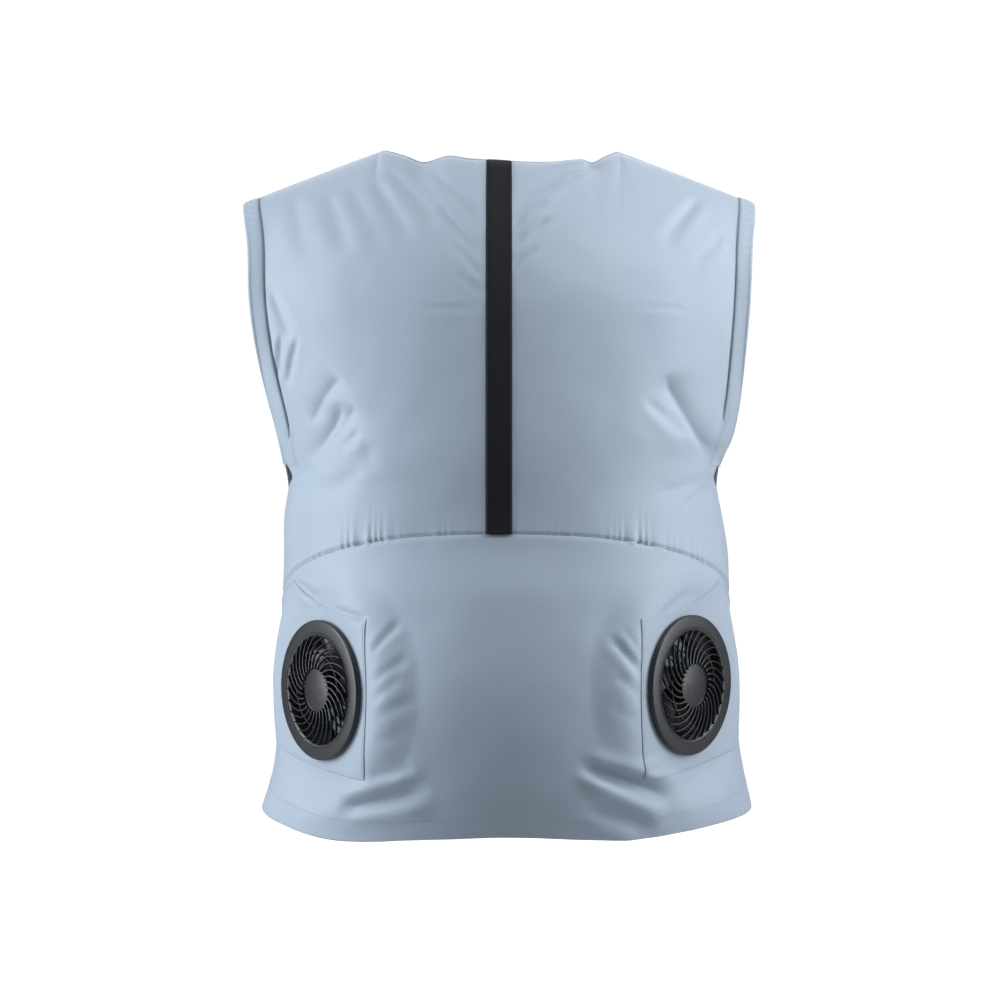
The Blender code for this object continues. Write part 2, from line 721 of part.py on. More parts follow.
def impeller_mesh():
    """Blades twisted about a hub cup that the motor's shaft enters from behind"""
    top, foot = impeller_top(), impeller_top() - IMPELLER_DEPTH
    hub = cylinder("hub", IMPELLER_HUB_RADIUS, foot, top, BLADE_COUNT * 3)
    tip = OPENING_RADIUS - RUNNING_GAP
    root = IMPELLER_HUB_RADIUS - 0.0012
    model = bmesh.new()
    for i in range(BLADE_COUNT):
        rows = []
        for share in (0.0, 0.5, 1.0):
            radius = mix(root, tip, share)
            pitch = math.radians(BLADE_PITCH - 8 * share)
            lean = math.tau * i / BLADE_COUNT + math.radians(20) * share
            chord = (IMPELLER_DEPTH - 0.0030) / math.sin(pitch)
            row = []
            for along in (-0.5, 0.0, 0.5):
                swing = lean + along * chord * math.cos(pitch) / radius
                reach = min(radius, tip)
                z = (top + foot) / 2 + along * chord * math.sin(pitch)
                row.append(model.verts.new((reach * math.cos(swing), reach * math.sin(swing), z)))
            rows.append(row)
        for low, high in zip(rows, rows[1:]):
            for j in range(2):
                model.faces.new((low[j], high[j], high[j + 1], low[j + 1]))
    mesh = bpy.data.meshes.new("blades")
    model.to_mesh(mesh)
    model.free()
    blades = bpy.data.objects.new("blades", mesh)
    wall = blades.modifiers.new("wall", "SOLIDIFY")
    wall.thickness = BLADE_WALL
    wall.offset = 0
    parts.objects.link(blades)
    depsgraph = bpy.context.evaluated_depsgraph_get()
    solid = bpy.data.meshes.new_from_object(blades.evaluated_get(depsgraph))
    blades.modifiers.clear()
    blades.data = solid
    parts.objects.unlink(blades)
    fused = combine(hub, [blades])
    bore = cylinder("bore", SHAFT_RADIUS + SHAFT_CLEARANCE, foot - 0.001, top - 0.004, 12)
    return combine(fused, [bore], "DIFFERENCE").data


def guard_mesh():
    """Rear guard: a ring behind the barrel, arms in to the motor, its shaft and the cable inlet"""
    top = BARREL_END - SEAM_GAP
    foot = top - GUARD_THICK
    outer = OPENING_RADIUS + BARREL_WALL
    inner = OPENING_RADIUS - 0.0030
    ring = turned("ring", ((inner, foot), (outer, foot), (outer, top), (inner, top)))
    motor_top = impeller_top() - IMPELLER_DEPTH - RUNNING_GAP
    motor = cylinder("motor", MOTOR_RADIUS, motor_top - MOTOR_DEPTH, motor_top)
    shaft = cylinder("shaft", SHAFT_RADIUS, motor_top - 0.002, impeller_top() - 0.004 - RUNNING_GAP, 12)
    tools = [motor, shaft]
    length = inner - MOTOR_RADIUS + 0.0030
    middle = (inner + MOTOR_RADIUS) / 2
    for i in range(GUARD_ARMS):
        size = (length, GUARD_ARM_WIDTH, GUARD_THICK - 0.0004)
        tools.append(box(f"arm_{i}", size, (middle, 0, (top + foot) / 2), math.tau * (i + 0.5) / GUARD_ARMS))
    inlet_size = (INLET_WIDTH, INLET_HEIGHT, INLET_HEIGHT)
    inlet_centre = (inner - INLET_WIDTH / 2 + 0.0015, 0, foot - INLET_HEIGHT / 2 + 0.0012)
    inlet = box("inlet", inlet_size, inlet_centre, math.radians(90))
    socket_size = (INLET_WIDTH, INLET_HEIGHT - 0.0030, INLET_HEIGHT - 0.0030)
    socket_centre = (inlet_centre[0] - INLET_WIDTH * 0.35, 0, inlet_centre[2])
    socket = box("socket", socket_size, socket_centre, math.radians(90))
    fused = combine(ring, tools + [inlet])
    return combine(fused, [socket], "DIFFERENCE").data


def fan_matrix(centre, outward):
    up = Vector((0, 0, 1))
    across = up.cross(outward)
    turn = Matrix((across, up, outward)).transposed().to_4x4()
    return Matrix.Translation(centre) @ turn


for old in list(bpy.data.objects):
    bpy.data.objects.remove(old)
parts = bpy.data.collections.new("fan_vest")
cutters = bpy.data.collections.new("cutters")
for collection in (parts, cutters):
    bpy.context.scene.collection.children.link(collection)

# Cloth panels
cloth("upper_back_panel", back_grid(WAIST, TOP), -CLOTH_WALL, 0, POPLIN)
lower_back = cloth("lower_back_panel", back_grid(HEM, WAIST), -CLOTH_WALL, 0, POPLIN)
patches = []
for fan in FANS:
    patches.append(cloth(f"fan_patch_{fan.name}", patch_grid(fan.side), SEAM_GAP, SEAM_GAP + PATCH_WALL, POPLIN))
    cloth(f"front_panel_{fan.name}", front_grid(fan.side), -CLOTH_WALL, 0, POPLIN)
    cloth(f"side_gusset_{fan.name}", gusset_grid(fan.side), -CLOTH_WALL, 0, MESH)
    cloth(f"armhole_band_{fan.name}", band_ring(fan.side), SEAM_GAP, SEAM_GAP + BAND_WALL, POPLIN, ring=True)

# Trim
cloth("centre_back_tape", tape_grid(), SEAM_GAP, SEAM_GAP + TAPE_WALL, TWILL)
cloth("front_zip", zip_grid(), -CLOTH_WALL, ZIP_WALL - CLOTH_WALL, TWILL)

# Fan units, the same moulding on both sides
fan_pieces = (
    ("fan_frame", fan_frame_mesh(), PLASTIC),
    ("fan_lock_ring", lock_ring_mesh(), PLASTIC),
    ("fan_impeller", impeller_mesh(), PLASTIC),
    ("fan_rear_guard", guard_mesh(), PLASTIC),
)
for fan, (centre, outward), patch in zip(FANS, FAN_AXES, patches):
    matrix = fan_matrix(centre, outward)
    for kind, mesh, finish in fan_pieces:
        piece = bpy.data.objects.new(f"{kind}_{fan.name}", mesh.copy())
        piece.matrix_world = matrix
        piece.data.shade_smooth()
        piece.data.set_sharp_from_angle(angle=math.radians(35))
        link(piece, parts, finish)
    hole = cylinder(f"hole_{fan.name}", HOLE_RADIUS, -0.03, 0.03, TURNED_SIDES)
    hole.matrix_world = matrix
    hole.hide_render = True
    hole.display_type = "WIRE"
    cutters.objects.link(hole)
    for sheet in (lower_back, patch):
        cut = sheet.modifiers.new(hole.name, "BOOLEAN")
        cut.operation = "DIFFERENCE"
        cut.solver = "EXACT"
        cut.object = hole
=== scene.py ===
import json
import math

import bpy
import numpy as np
from mathutils import Matrix, Vector, noise


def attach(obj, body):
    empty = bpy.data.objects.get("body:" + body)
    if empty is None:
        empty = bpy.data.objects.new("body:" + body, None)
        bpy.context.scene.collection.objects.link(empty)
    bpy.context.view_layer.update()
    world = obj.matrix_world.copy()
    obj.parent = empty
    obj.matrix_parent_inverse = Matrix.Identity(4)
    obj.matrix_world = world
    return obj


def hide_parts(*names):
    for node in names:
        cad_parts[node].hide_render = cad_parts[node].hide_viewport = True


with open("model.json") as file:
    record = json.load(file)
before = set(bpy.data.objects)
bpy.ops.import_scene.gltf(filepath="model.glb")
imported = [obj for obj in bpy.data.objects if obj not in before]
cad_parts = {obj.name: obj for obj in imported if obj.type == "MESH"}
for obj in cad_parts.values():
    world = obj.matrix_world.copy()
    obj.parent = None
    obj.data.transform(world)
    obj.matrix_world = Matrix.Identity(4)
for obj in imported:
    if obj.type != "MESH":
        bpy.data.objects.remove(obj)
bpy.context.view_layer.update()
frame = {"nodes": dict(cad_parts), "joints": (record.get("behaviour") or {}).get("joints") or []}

# Fan-cooled work vest seen from behind: +X is the wearer's right, +Y the front, +Z up, in metres
print("frame loaded:", len(frame["nodes"]), "nodes")


# Small helpers for working in the viewport's way
def deselectAll():
    if bpy.context.mode != "OBJECT":
        bpy.ops.object.mode_set(mode="OBJECT")
    bpy.ops.object.select_all(action="DESELECT")


def pick(*pieces):
    deselectAll()
    for piece in pieces:
        piece.select_set(True)
    bpy.context.view_layer.objects.active = pieces[0]
    return pieces[0]


def keepAs(name):
    piece = bpy.context.object
    piece.name = name
    piece.data.name = name
    return piece


def addModifier(piece, kind, **settings):
    pick(piece)
    change = piece.modifiers.new(kind.lower(), kind)
    for key, value in settings.items():
        setattr(change, key, value)
    bpy.ops.object.modifier_apply(modifier=change.name)
    return piece


def joinAll(name, pieces):
    pick(*pieces)
    if len(pieces) > 1:
        bpy.ops.object.join()
    return keepAs(name)


def copyPiece(piece, name):
    twin = piece.copy()
    twin.data = piece.data.copy()
    twin.name = twin.data.name = name
    bpy.context.scene.collection.objects.link(twin)
    return twin


# Copies of a piece turned round the z axis and joined
def copyAround(name, piece, count, start=0.0):
    ring = []
    for k in range(count):
        twin = copyPiece(piece, f"{name}_{k}")
        twin.data.transform(Matrix.Rotation(start + math.tau * k / count, 4, "Z"))
        ring.append(twin)
    bpy.data.objects.remove(piece)
    return joinAll(name, ring)


# Joins the active piece's points that meet and turns its faces outward
def weld(threshold):
    bpy.ops.object.mode_set(mode="EDIT")
    bpy.ops.mesh.select_all(action="SELECT")
    bpy.ops.mesh.remove_doubles(threshold=threshold)
    bpy.ops.mesh.normals_make_consistent(inside=False)
    bpy.ops.object.mode_set(mode="OBJECT")


def smoothShade(piece, angle=40):
    pick(piece)
    bpy.ops.object.shade_smooth_by_angle(angle=math.radians(angle))


# Opens a piece for editing with only some of its faces or edges selected
def editChosen(piece, items, kind, chosen):
    bpy.ops.object.mode_set(mode="EDIT")
    bpy.ops.mesh.select_all(action="DESELECT")
    bpy.ops.object.mode_set(mode="OBJECT")
    for item in getattr(piece.data, items):
        item.select = chosen(item)
    bpy.ops.object.mode_set(mode="EDIT")
    bpy.ops.mesh.select_mode(type=kind)


def finishPiece(piece, material, body="vest", replaces=()):
    piece.data.materials.clear()
    piece.data.materials.append(material)
    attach(piece, body)
    if replaces:
        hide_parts(*replaces)
    return piece


# Node helpers
def newGroup(name, inputs, outputs):
    group = bpy.data.node_groups.new(name, "ShaderNodeTree")
    for label, kind, value in inputs:
        socket = group.interface.new_socket(name=label, in_out="INPUT", socket_type="NodeSocket" + kind)
        if value is not None:
            socket.default_value = value
    for label, kind in outputs:
        group.interface.new_socket(name=label, in_out="OUTPUT", socket_type="NodeSocket" + kind)
    return group, group.nodes.new("NodeGroupInput"), group.nodes.new("NodeGroupOutput")


def addNode(tree, kind, links=None, **settings):
    node = tree.nodes.new("ShaderNode" + kind)
    for key, value in settings.items():
        setattr(node, key, value)
    for socket, source in (links or {}).items():
        if isinstance(source, bpy.types.NodeSocket):
            tree.links.new(source, node.inputs[socket])
        else:
            node.inputs[socket].default_value = source
    return node


# Links values to a node's sockets, whose spaces are written as underscores
def feed(tree, node, **sources):
    for socket, source in sources.items():
        tree.links.new(source, node.inputs[socket.replace("_", " ")])


def calc(tree, operation, first, second=0.0, third=0.0):
    return addNode(tree, "Math", {0: first, 1: second, 2: third}, operation=operation).outputs[0]


# Plain weave: threads over and under each other on a pattern in metres
weave, source, sink = newGroup("threadWeave", (("Vector", "Vector", None), ("Pitch", "Float", 0.0004)),
                               (("Height", "Float"), ("Thread", "Float")))
split = addNode(weave, "SeparateXYZ", {0: source.outputs["Vector"]})
scale = calc(weave, "DIVIDE", math.pi, source.outputs["Pitch"])
warp = calc(weave, "SINE", calc(weave, "MULTIPLY", split.outputs[0], scale))
weft = calc(weave, "SINE", calc(weave, "MULTIPLY", split.outputs[1], scale))
over = calc(weave, "GREATER_THAN", calc(weave, "MULTIPLY", warp, weft), 0.0)
blend = addNode(weave, "Mix", {0: over, 2: calc(weave, "ABSOLUTE", warp), 3: calc(weave, "ABSOLUTE", weft)})
feed(weave, sink, Height=blend.outputs[0], Thread=over)

# Twill: steep diagonal ribs
twill, source, sink = newGroup("twillRib", (("Vector", "Vector", None), ("Pitch", "Float", 0.0011)),
                               (("Height", "Float"), ("Mask", "Float")))
split = addNode(twill, "SeparateXYZ", {0: source.outputs["Vector"]})
slant = calc(twill, "MULTIPLY_ADD", split.outputs[1], 0.62, split.outputs[0])
scale = calc(twill, "DIVIDE", math.tau, source.outputs["Pitch"])
rib = calc(twill, "MULTIPLY_ADD", calc(twill, "SINE", calc(twill, "MULTIPLY", slant, scale)), 0.5, 0.5)
cross = calc(twill, "SINE", calc(twill, "MULTIPLY", calc(twill, "MULTIPLY", split.outputs[1], scale), 1.3))
height = calc(twill, "MULTIPLY_ADD", cross, 0.18, rib)
feed(twill, sink, Height=height, Mask=rib)

# Worn tone: broad and fine patches of lighter and darker cloth or plastic
tone, source, sink = newGroup("wornTone", (("Vector", "Vector", None), ("Color", "Color", (1, 1, 1, 1)),
                                           ("Broad", "Float", 5.0), ("Fine", "Float", 120.0),
                                           ("Amount", "Float", 0.06)),
                              (("Color", "Color"), ("Mask", "Float")))
given = source.outputs
broad = addNode(tone, "TexNoise", {"Vector": given["Vector"], "Scale": given["Broad"], "Detail": 3.0})
fine = addNode(tone, "TexNoise", {"Vector": given["Vector"], "Scale": given["Fine"], "Detail": 2.0})
both = calc(tone, "ADD", calc(tone, "MULTIPLY", broad.outputs[0], 0.6), calc(tone, "MULTIPLY", fine.outputs[0], 0.4))
swing = calc(tone, "MULTIPLY_ADD", calc(tone, "SUBTRACT", both, 0.5), calc(tone, "MULTIPLY", given["Amount"], 4.0), 1.0)
shade = addNode(tone, "HueSaturation", {"Color": given["Color"], "Value": swing})
feed(tone, sink, Color=shade.outputs[0], Mask=both)

# Moulded grain: spark-eroded texture of the fan plastic, with faint scuffs
grain, source, sink = newGroup("mouldGrain", (("Vector", "Vector", None), ("Grain", "Float", 1800.0),
                                              ("Scuff", "Float", 55.0)),
                               (("Height", "Float"), ("Scuffs", "Float")))
given = source.outputs
speck = addNode(grain, "TexVoronoi", {"Vector": given["Vector"], "Scale": given["Grain"]})
swirl = addNode(grain, "TexNoise", {"Vector": given["Vector"], "Scale": given["Scuff"], "Detail": 8.0,
                                    "Roughness": 0.7})
scuffs = addNode(grain, "MapRange", {"Value": swirl.outputs[0], "From Min": 0.55, "From Max": 0.72})
feed(grain, sink, Height=speck.outputs["Distance"], Scuffs=scuffs.outputs[0])

# Knitted net: rows of round holes set half a step over in every second row
net, source, sink = newGroup("netHoles", (("Vector", "Vector", None), ("Pitch", "Float", 0.0024),
                                          ("Hole", "Float", 0.33)),
                             (("Mask", "Float"), ("Height", "Float")))
split = addNode(net, "SeparateXYZ", {0: source.outputs["Vector"]})
across = calc(net, "DIVIDE", split.outputs[0], source.outputs["Pitch"])
upward = calc(net, "DIVIDE", split.outputs[1], calc(net, "MULTIPLY", source.outputs["Pitch"], 0.866))
odd = calc(net, "MULTIPLY", calc(net, "FLOORED_MODULO", calc(net, "FLOOR", upward), 2.0), 0.5)
cellX = calc(net, "SUBTRACT", calc(net, "FRACT", calc(net, "ADD", across, odd)), 0.5)
cellY = calc(net, "MULTIPLY", calc(net, "SUBTRACT", calc(net, "FRACT", upward), 0.5), 0.866)
away = calc(net, "SQRT", calc(net, "ADD", calc(net, "MULTIPLY", cellX, cellX), calc(net, "MULTIPLY", cellY, cellY)))
solid = addNode(net, "MapRange", {"Value": away, "From Min": calc(net, "SUBTRACT", source.outputs["Hole"], 0.03),
                                  "From Max": calc(net, "ADD", source.outputs["Hole"], 0.03)})
feed(net, sink, Mask=solid.outputs[0], Height=away)


def newMaterial(name, **sockets):
    material = bpy.data.materials.new(name)
    material.use_nodes = True
    tree = material.node_tree
    shader = tree.nodes["Principled BSDF"]
    for label, value in sockets.items():
        shader.inputs[label.replace("_", " ")].default_value = value
    return material, tree, shader


def useGroup(tree, group, **links):
    return addNode(tree, "Group", {key.replace("_", " "): value for key, value in links.items()}, node_tree=group)


poplin = {"color": (0.365, 0.445, 0.535, 1), "pitch": 0.00055, "weaveDepth": 0.00003, "rumple": 0.00035}
twillTape = {"color": (0.0070, 0.0085, 0.0110, 1), "pitch": 0.0013, "depth": 0.00012}
sideNet = {"color": (0.013, 0.014, 0.017, 1), "pitch": 0.0024, "hole": 0.30}
fanPlastic = {"color": (0.0155, 0.0170, 0.0210, 1), "grain": 1500.0}
bladePlastic = {"color": (0.010, 0.011, 0.013, 1), "grain": 900.0}


# Worn colour for a shader, in the object's own space: broad and fine patch sizes and how strong they are
def wearColor(tree, shader, color, broad, fine, amount):
    place = addNode(tree, "TexCoord")
    worn = useGroup(tree, tone, Vector=place.outputs["Object"], Color=color, Broad=broad, Fine=fine, Amount=amount)
    feed(tree, shader, Base_Color=worn.outputs["Color"])
    return place, worn


def roughBy(tree, shader, mask, low, high):
    feed(tree, shader, Roughness=addNode(tree, "MapRange", {"Value": mask, "To Min": low, "To Max": high}).outputs[0])


def addBump(tree, shader, height, distance, strength, under=None):
    bump = addNode(tree, "Bump", {"Height": height, "Distance": distance, "Strength": strength})
    if under:
        feed(tree, bump, Normal=under.outputs[0])
    feed(tree, shader, Normal=bump.outputs[0])
    return bump


def poplinMaterial(name, color):
    material, tree, shader = newMaterial(name, Roughness=0.5, Sheen_Weight=0.35, Sheen_Roughness=0.45,
                                         Specular_IOR_Level=0.35)
    place, worn = wearColor(tree, shader, color, 5.0, 420.0, 0.035)
    roughBy(tree, shader, worn.outputs["Mask"], 0.42, 0.58)
    threads = useGroup(tree, weave, Vector=place.outputs["UV"], Pitch=poplin["pitch"])
    rumple = addNode(tree, "TexNoise", {"Vector": place.outputs["Object"], "Scale": 70.0, "Detail": 4.0,
                                        "Roughness": 0.55})
    fineBump = addBump(tree, shader, threads.outputs["Height"], poplin["weaveDepth"], 0.5)
    addBump(tree, shader, rumple.outputs[0], poplin["rumple"], 0.5, fineBump)
    return material


def twillMaterial():
    material, tree, shader = newMaterial("black_twill", Roughness=0.8, Sheen_Weight=0.04, Sheen_Roughness=0.5,
                                         Specular_IOR_Level=0.2)
    place, worn = wearColor(tree, shader, twillTape["color"], 18.0, 600.0, 0.12)
    ribs = useGroup(tree, twill, Vector=place.outputs["UV"], Pitch=twillTape["pitch"])
    roughBy(tree, shader, ribs.outputs["Mask"], 0.82, 0.62)
    addBump(tree, shader, ribs.outputs["Height"], twillTape["depth"], 0.8)
    return material


def netMaterial():
    material, tree, shader = newMaterial("black_net", Roughness=0.75, Sheen_Weight=0.2, Specular_IOR_Level=0.3)
    place, worn = wearColor(tree, shader, sideNet["color"], 20.0, 700.0, 0.15)
    holes = useGroup(tree, net, Vector=place.outputs["UV"], Pitch=sideNet["pitch"], Hole=sideNet["hole"])
    feed(tree, shader, Alpha=holes.outputs["Mask"])
    addBump(tree, shader, holes.outputs["Height"], 0.0003, 0.6)
    return material


def plasticMaterial(name, values, rough, **sockets):
    material, tree, shader = newMaterial(name, **sockets)
    place, worn = wearColor(tree, shader, values["color"], 14.0, 260.0, 0.10)
    marks = useGroup(tree, grain, Vector=place.outputs["Object"], Grain=values["grain"])
    roughBy(tree, shader, marks.outputs["Scuffs"], rough, rough + 0.14)
    addBump(tree, shader, marks.outputs["Height"], 0.00012, 0.35)
    return material


shellCloth = poplinMaterial("shell_poplin", poplin["color"])
threadCloth = poplinMaterial("stitch_thread", (0.40, 0.47, 0.545, 1))
tapeCloth = twillMaterial()
netCloth = netMaterial()
mouldedPlastic = plasticMaterial("fan_plastic", fanPlastic, 0.36, Specular_IOR_Level=0.5, Coat_Weight=0.06,
                                 Coat_Roughness=0.3)
bladeGloss = plasticMaterial("blade_plastic", bladePlastic, 0.30, Specular_IOR_Level=0.5)
print("materials ready")

# Shape of the shell, read the same way as the solids: seam levels 0 hem, 1 patch foot, 2 patch head,
# 3 waist seam, 4 a band's width under the underarm, 5 underarm, 6 neck and shoulders
vest = {
    "hemDrop": 0.677, "underarmDrop": 0.318, "waistDrop": 0.389, "waistSideDrop": 0.070,
    "shoulderDrop": 0.054, "shoulderHalf": 0.262, "neckHalf": 0.121, "neckBackDrop": 0.019,
    "neckBackSet": 0.066, "neckFrontDrop": 0.085, "neckFrontSet": 0.100, "bodyHalf": 0.235,
    "backDepth": 0.222, "frontDepth": 0.170, "armholeSet": 0.075, "hemWave": 0.010,
    "patchFoot": 0.620, "patchHead": 0.469, "patchFootRise": 0.035, "patchHeadRise": 0.096,
    "patchWaistGap": 0.008, "bandWidth": 0.0165, "flare": 0.0055, "cornerBlur": 0.09, "patchTurn": 33.0,
    "notch": 12.0, "notchDrop": 0.334, "notchWidth": 0.013, "foldRound": 0.0007, "roundFrom": 0.42,
    "flangeRadius": 0.0675, "flatMargin": 0.012, "blendWidth": 0.045,
    "gussetHalf": math.degrees(math.asin(0.032 / (0.222 * 0.865))),
    "gussetTip": math.degrees(math.asin(0.003 / (0.222 * 0.88))),
}
reachTurn = 90 - vest["gussetHalf"]
bothSides = (("left", -1), ("right", 1))
# Half widths of the body as shares of bodyHalf: drop as a share of hemDrop, left, right
widths = ((0.40, 0.955, 0.975), (0.47, 0.940, 0.966), (0.51, 0.923, 0.953), (0.55, 0.938, 0.972),
          (0.62, 0.938, 0.998), (0.75, 0.943, 1.008), (0.85, 0.966, 1.036), (0.90, 0.972, 1.048),
          (0.94, 0.990, 1.068), (0.98, 1.028, 1.096), (1.00, 1.045, 1.104))
# Depths of the body: drop as a share of hemDrop, back, front
depths = ((0.00, 0.60, 0.70), (0.10, 0.68, 0.80), (0.20, 0.75, 0.88), (0.30, 0.80, 0.94), (0.45, 0.86, 0.97),
          (0.58, 0.87, 0.98), (0.67, 0.94, 0.99), (0.80, 1.00, 1.00), (0.92, 0.96, 0.98), (1.00, 0.88, 0.94))
# Armhole edges: rise, how far out on the left and right, how far set in, and how flat the bow is
armholes = ((0.00, 0.00, 0.00, 0.00, 1.00), (0.08, 0.05, 0.26, 0.30, 1.12), (0.20, 0.26, 0.42, 0.65, 1.35),
            (0.40, 0.52, 0.55, 0.95, 1.60), (0.60, 0.69, 0.68, 1.00, 1.75), (0.80, 0.77, 0.79, 0.95, 1.75),
            (1.00, 1.00, 1.00, 0.80, 1.60))
# Waves of the back neckline: across and height in metres
neckWaves = ((-0.121, 0.0), (-0.095, -0.004), (-0.075, -0.008), (-0.051, 0.001), (-0.030, 0.0), (0.0, -0.001),
             (0.050, -0.005), (0.083, -0.006), (0.094, -0.011), (0.108, -0.006), (0.121, -0.002))
# Waves of the hem: angle, and height as a share of hemWave
hemWaves = ((-90, 0.9), (-62, 0.3), (-40, -0.4), (-14, 0.3), (4, 0.6), (28, 0.0), (44, 0.3), (60, 0.6), (90, 0.9))

fans = {}
for joint in frame["joints"]:
    side = "left" if joint["name"].startswith("left") else "right"
    fans[side] = (np.array(joint["pos_m"]), np.array(joint["axis"]))


def mixed(start, end, share):
    return start + (end - start) * share


def ease(share):
    share = np.clip(share, 0, 1)
    return share * share * (3 - 2 * share)


# A smooth curve through a column of a table's rows
def readTable(rows, column, at):
    rows = np.array(rows, float)
    places, values = rows[:, 0], rows[:, column]
    index = np.arange(len(rows))
    low, high = np.maximum(index - 1, 0), np.minimum(index + 1, len(rows) - 1)
    slopes = (values[high] - values[low]) / (places[high] - places[low])
    at = np.clip(at, places[0], places[-1])
    k = np.clip(np.searchsorted(places, at, side="right") - 1, 0, len(rows) - 2)
    span = places[k + 1] - places[k]
    t = (at - places[k]) / span
    return (values[k] * (1 + 2 * t) * (1 - t) ** 2 + slopes[k] * span * t * (1 - t) ** 2
            + values[k + 1] * t * t * (3 - 2 * t) + slopes[k + 1] * span * t * t * (t - 1))


def halfWidth(turn, drop):
    share = drop / vest["hemDrop"]
    return vest["bodyHalf"] * np.where(turn > 0, readTable(widths, 2, share), readTable(widths, 1, share))


def depthAt(turn, drop):
    share = drop / vest["hemDrop"]
    return np.where(np.abs(turn) <= 90, vest["backDepth"] * readTable(depths, 1, share),
                    vest["frontDepth"] * readTable(depths, 2, share))


def roundBody(turn, drop):
    angle = np.radians(turn)
    return np.stack([halfWidth(turn, drop) * np.sin(angle), -depthAt(turn, drop) * np.cos(angle), -drop], -1)


# Distance from the fan's axis and height out of its plane
def aroundFan(point, fan):
    centre, outward = fan
    away = point - centre
    height = away @ outward
    radius = np.linalg.norm(away - height[..., None] * outward, axis=-1)
    return away, height, radius


def flatten(point):
    for centre, outward in fans.values():
        away, height, radius = aroundFan(point, (centre, outward))
        hold = 1 - ease((radius - vest["flangeRadius"] - vest["flatMargin"]) / vest["blendWidth"])
        hold = np.where(np.linalg.norm(away, axis=-1) < vest["flangeRadius"] * 3, hold, 0)
        point = point - outward * (height * hold)[..., None]
    return point


# Height and set of the neckline or shoulder ridge, eased into the cloth below its corners
def topEdge(turn, x, rise):
    ridge = (np.abs(x) - vest["neckHalf"]) / (vest["shoulderHalf"] - vest["neckHalf"])
    back = np.abs(turn) <= 90
    face = np.where(back, -1.0, 1.0)
    across = np.maximum(0.0, 1 - (x / vest["neckHalf"]) ** 2) ** mixed(1.5, 0.5, ease((rise - 0.72) / 0.28))
    drop = np.where(back, vest["neckBackDrop"], vest["neckFrontDrop"])
    setting = np.where(back, vest["neckBackSet"], vest["neckFrontSet"])
    onRidge = ridge >= 0
    top = np.where(onRidge, -vest["shoulderDrop"] * np.maximum(ridge, 0) ** 1.05, -drop * across ** 2)
    top = top + np.where(back & ~onRidge, readTable(neckWaves, 1, x), 0.0) * ease((rise - 0.6) / 0.4)
    return top, np.where(onRidge, 0.0, face * setting * across)


# Distance of the armhole's edge from the middle
def armholeHalf(turn, rise):
    armpit = np.full(np.shape(turn), vest["underarmDrop"])
    start = halfWidth(turn, armpit) * math.sin(math.radians(reachTurn))
    out = np.where(turn > 0, readTable(armholes, 2, rise), readTable(armholes, 1, rise))
    return mixed(start, vest["shoulderHalf"], out)


# Point of the part above the underarm, whose rise goes from 0 there to 1 at the neck and shoulders
def chest(turn, rise):
    back = np.abs(turn) <= 90
    face = np.where(back, -1.0, 1.0)
    angle = np.radians(np.where(back, np.abs(turn), 180 - np.abs(turn)))
    reach = math.radians(reachTurn)
    armpit = np.full(np.shape(turn), vest["underarmDrop"])
    edge = armholeHalf(turn, rise)
    x = np.sign(turn) * edge * np.sin(angle) / math.sin(reach)
    top, setting = topEdge(turn, x, rise)
    blur = vest["cornerBlur"] * (1 - rise)
    top = (topEdge(turn, x - blur, rise)[0] + 2 * top + topEdge(turn, x + blur, rise)[0]) / 4
    z = mixed(-vest["underarmDrop"], top, rise)
    depth = depthAt(turn, -z)
    edgeSet = mixed(depthAt(turn, armpit) * math.cos(reach), vest["armholeSet"], readTable(armholes, 3, rise))
    bow = np.maximum(0.0, (np.cos(angle) - math.cos(reach)) / (1 - math.cos(reach)))
    standing = edgeSet + (depth - edgeSet) * bow ** readTable(armholes, 4, rise)
    over = np.maximum(0.0, rise - vest["roundFrom"]) / (1 - vest["roundFrom"])
    closing = np.sqrt(np.maximum(0.0, 1 - over ** 2))
    nearEdge = np.clip(1 - (edge - np.abs(x)) / vest["bandWidth"], 0, 1)
    standing = standing + vest["flare"] * nearEdge * ease(rise / 0.06)
    return np.stack([x, mixed(setting, face * standing, closing), z], -1)


# Drop of each seam level 0 to 5 at each angle
def seamDrops(turn):
    away = np.minimum(np.abs(turn), 90)
    waist = vest["waistDrop"] + vest["waistSideDrop"] * (1 - np.cos(np.radians(away))) ** 1.2
    outer = np.maximum(0.0, away - vest["patchTurn"]) / (90 - vest["patchTurn"])
    lift = readTable(hemWaves, 1, np.clip(turn, -90, 90))
    armpit = np.full(np.shape(turn), vest["underarmDrop"])
    return np.stack([vest["hemDrop"] - vest["hemWave"] * lift, vest["patchFoot"] - vest["patchFootRise"] * outer ** 2,
                     np.maximum(vest["patchHead"] - vest["patchHeadRise"] * outer ** 2, waist + vest["patchWaistGap"]),
                     waist, armpit + vest["bandWidth"], armpit])


def dropAt(turn, level):
    drops = seamDrops(turn)
    low = np.clip(np.floor(level), 0, 4).astype(int)
    below = np.take_along_axis(drops, low[None], 0)[0]
    above = np.take_along_axis(drops, low[None] + 1, 0)[0]
    return mixed(below, above, level - low)


def facePoint(turn, level):
    turn, level = np.broadcast_arrays(np.asarray(turn, float), np.asarray(level, float))
    lower = flatten(roundBody(turn, dropAt(turn, np.minimum(level, 5.0))))
    upper = chest(turn, np.maximum(level - 5.0, 0.0))
    return np.where((level > 5)[..., None], upper, lower)


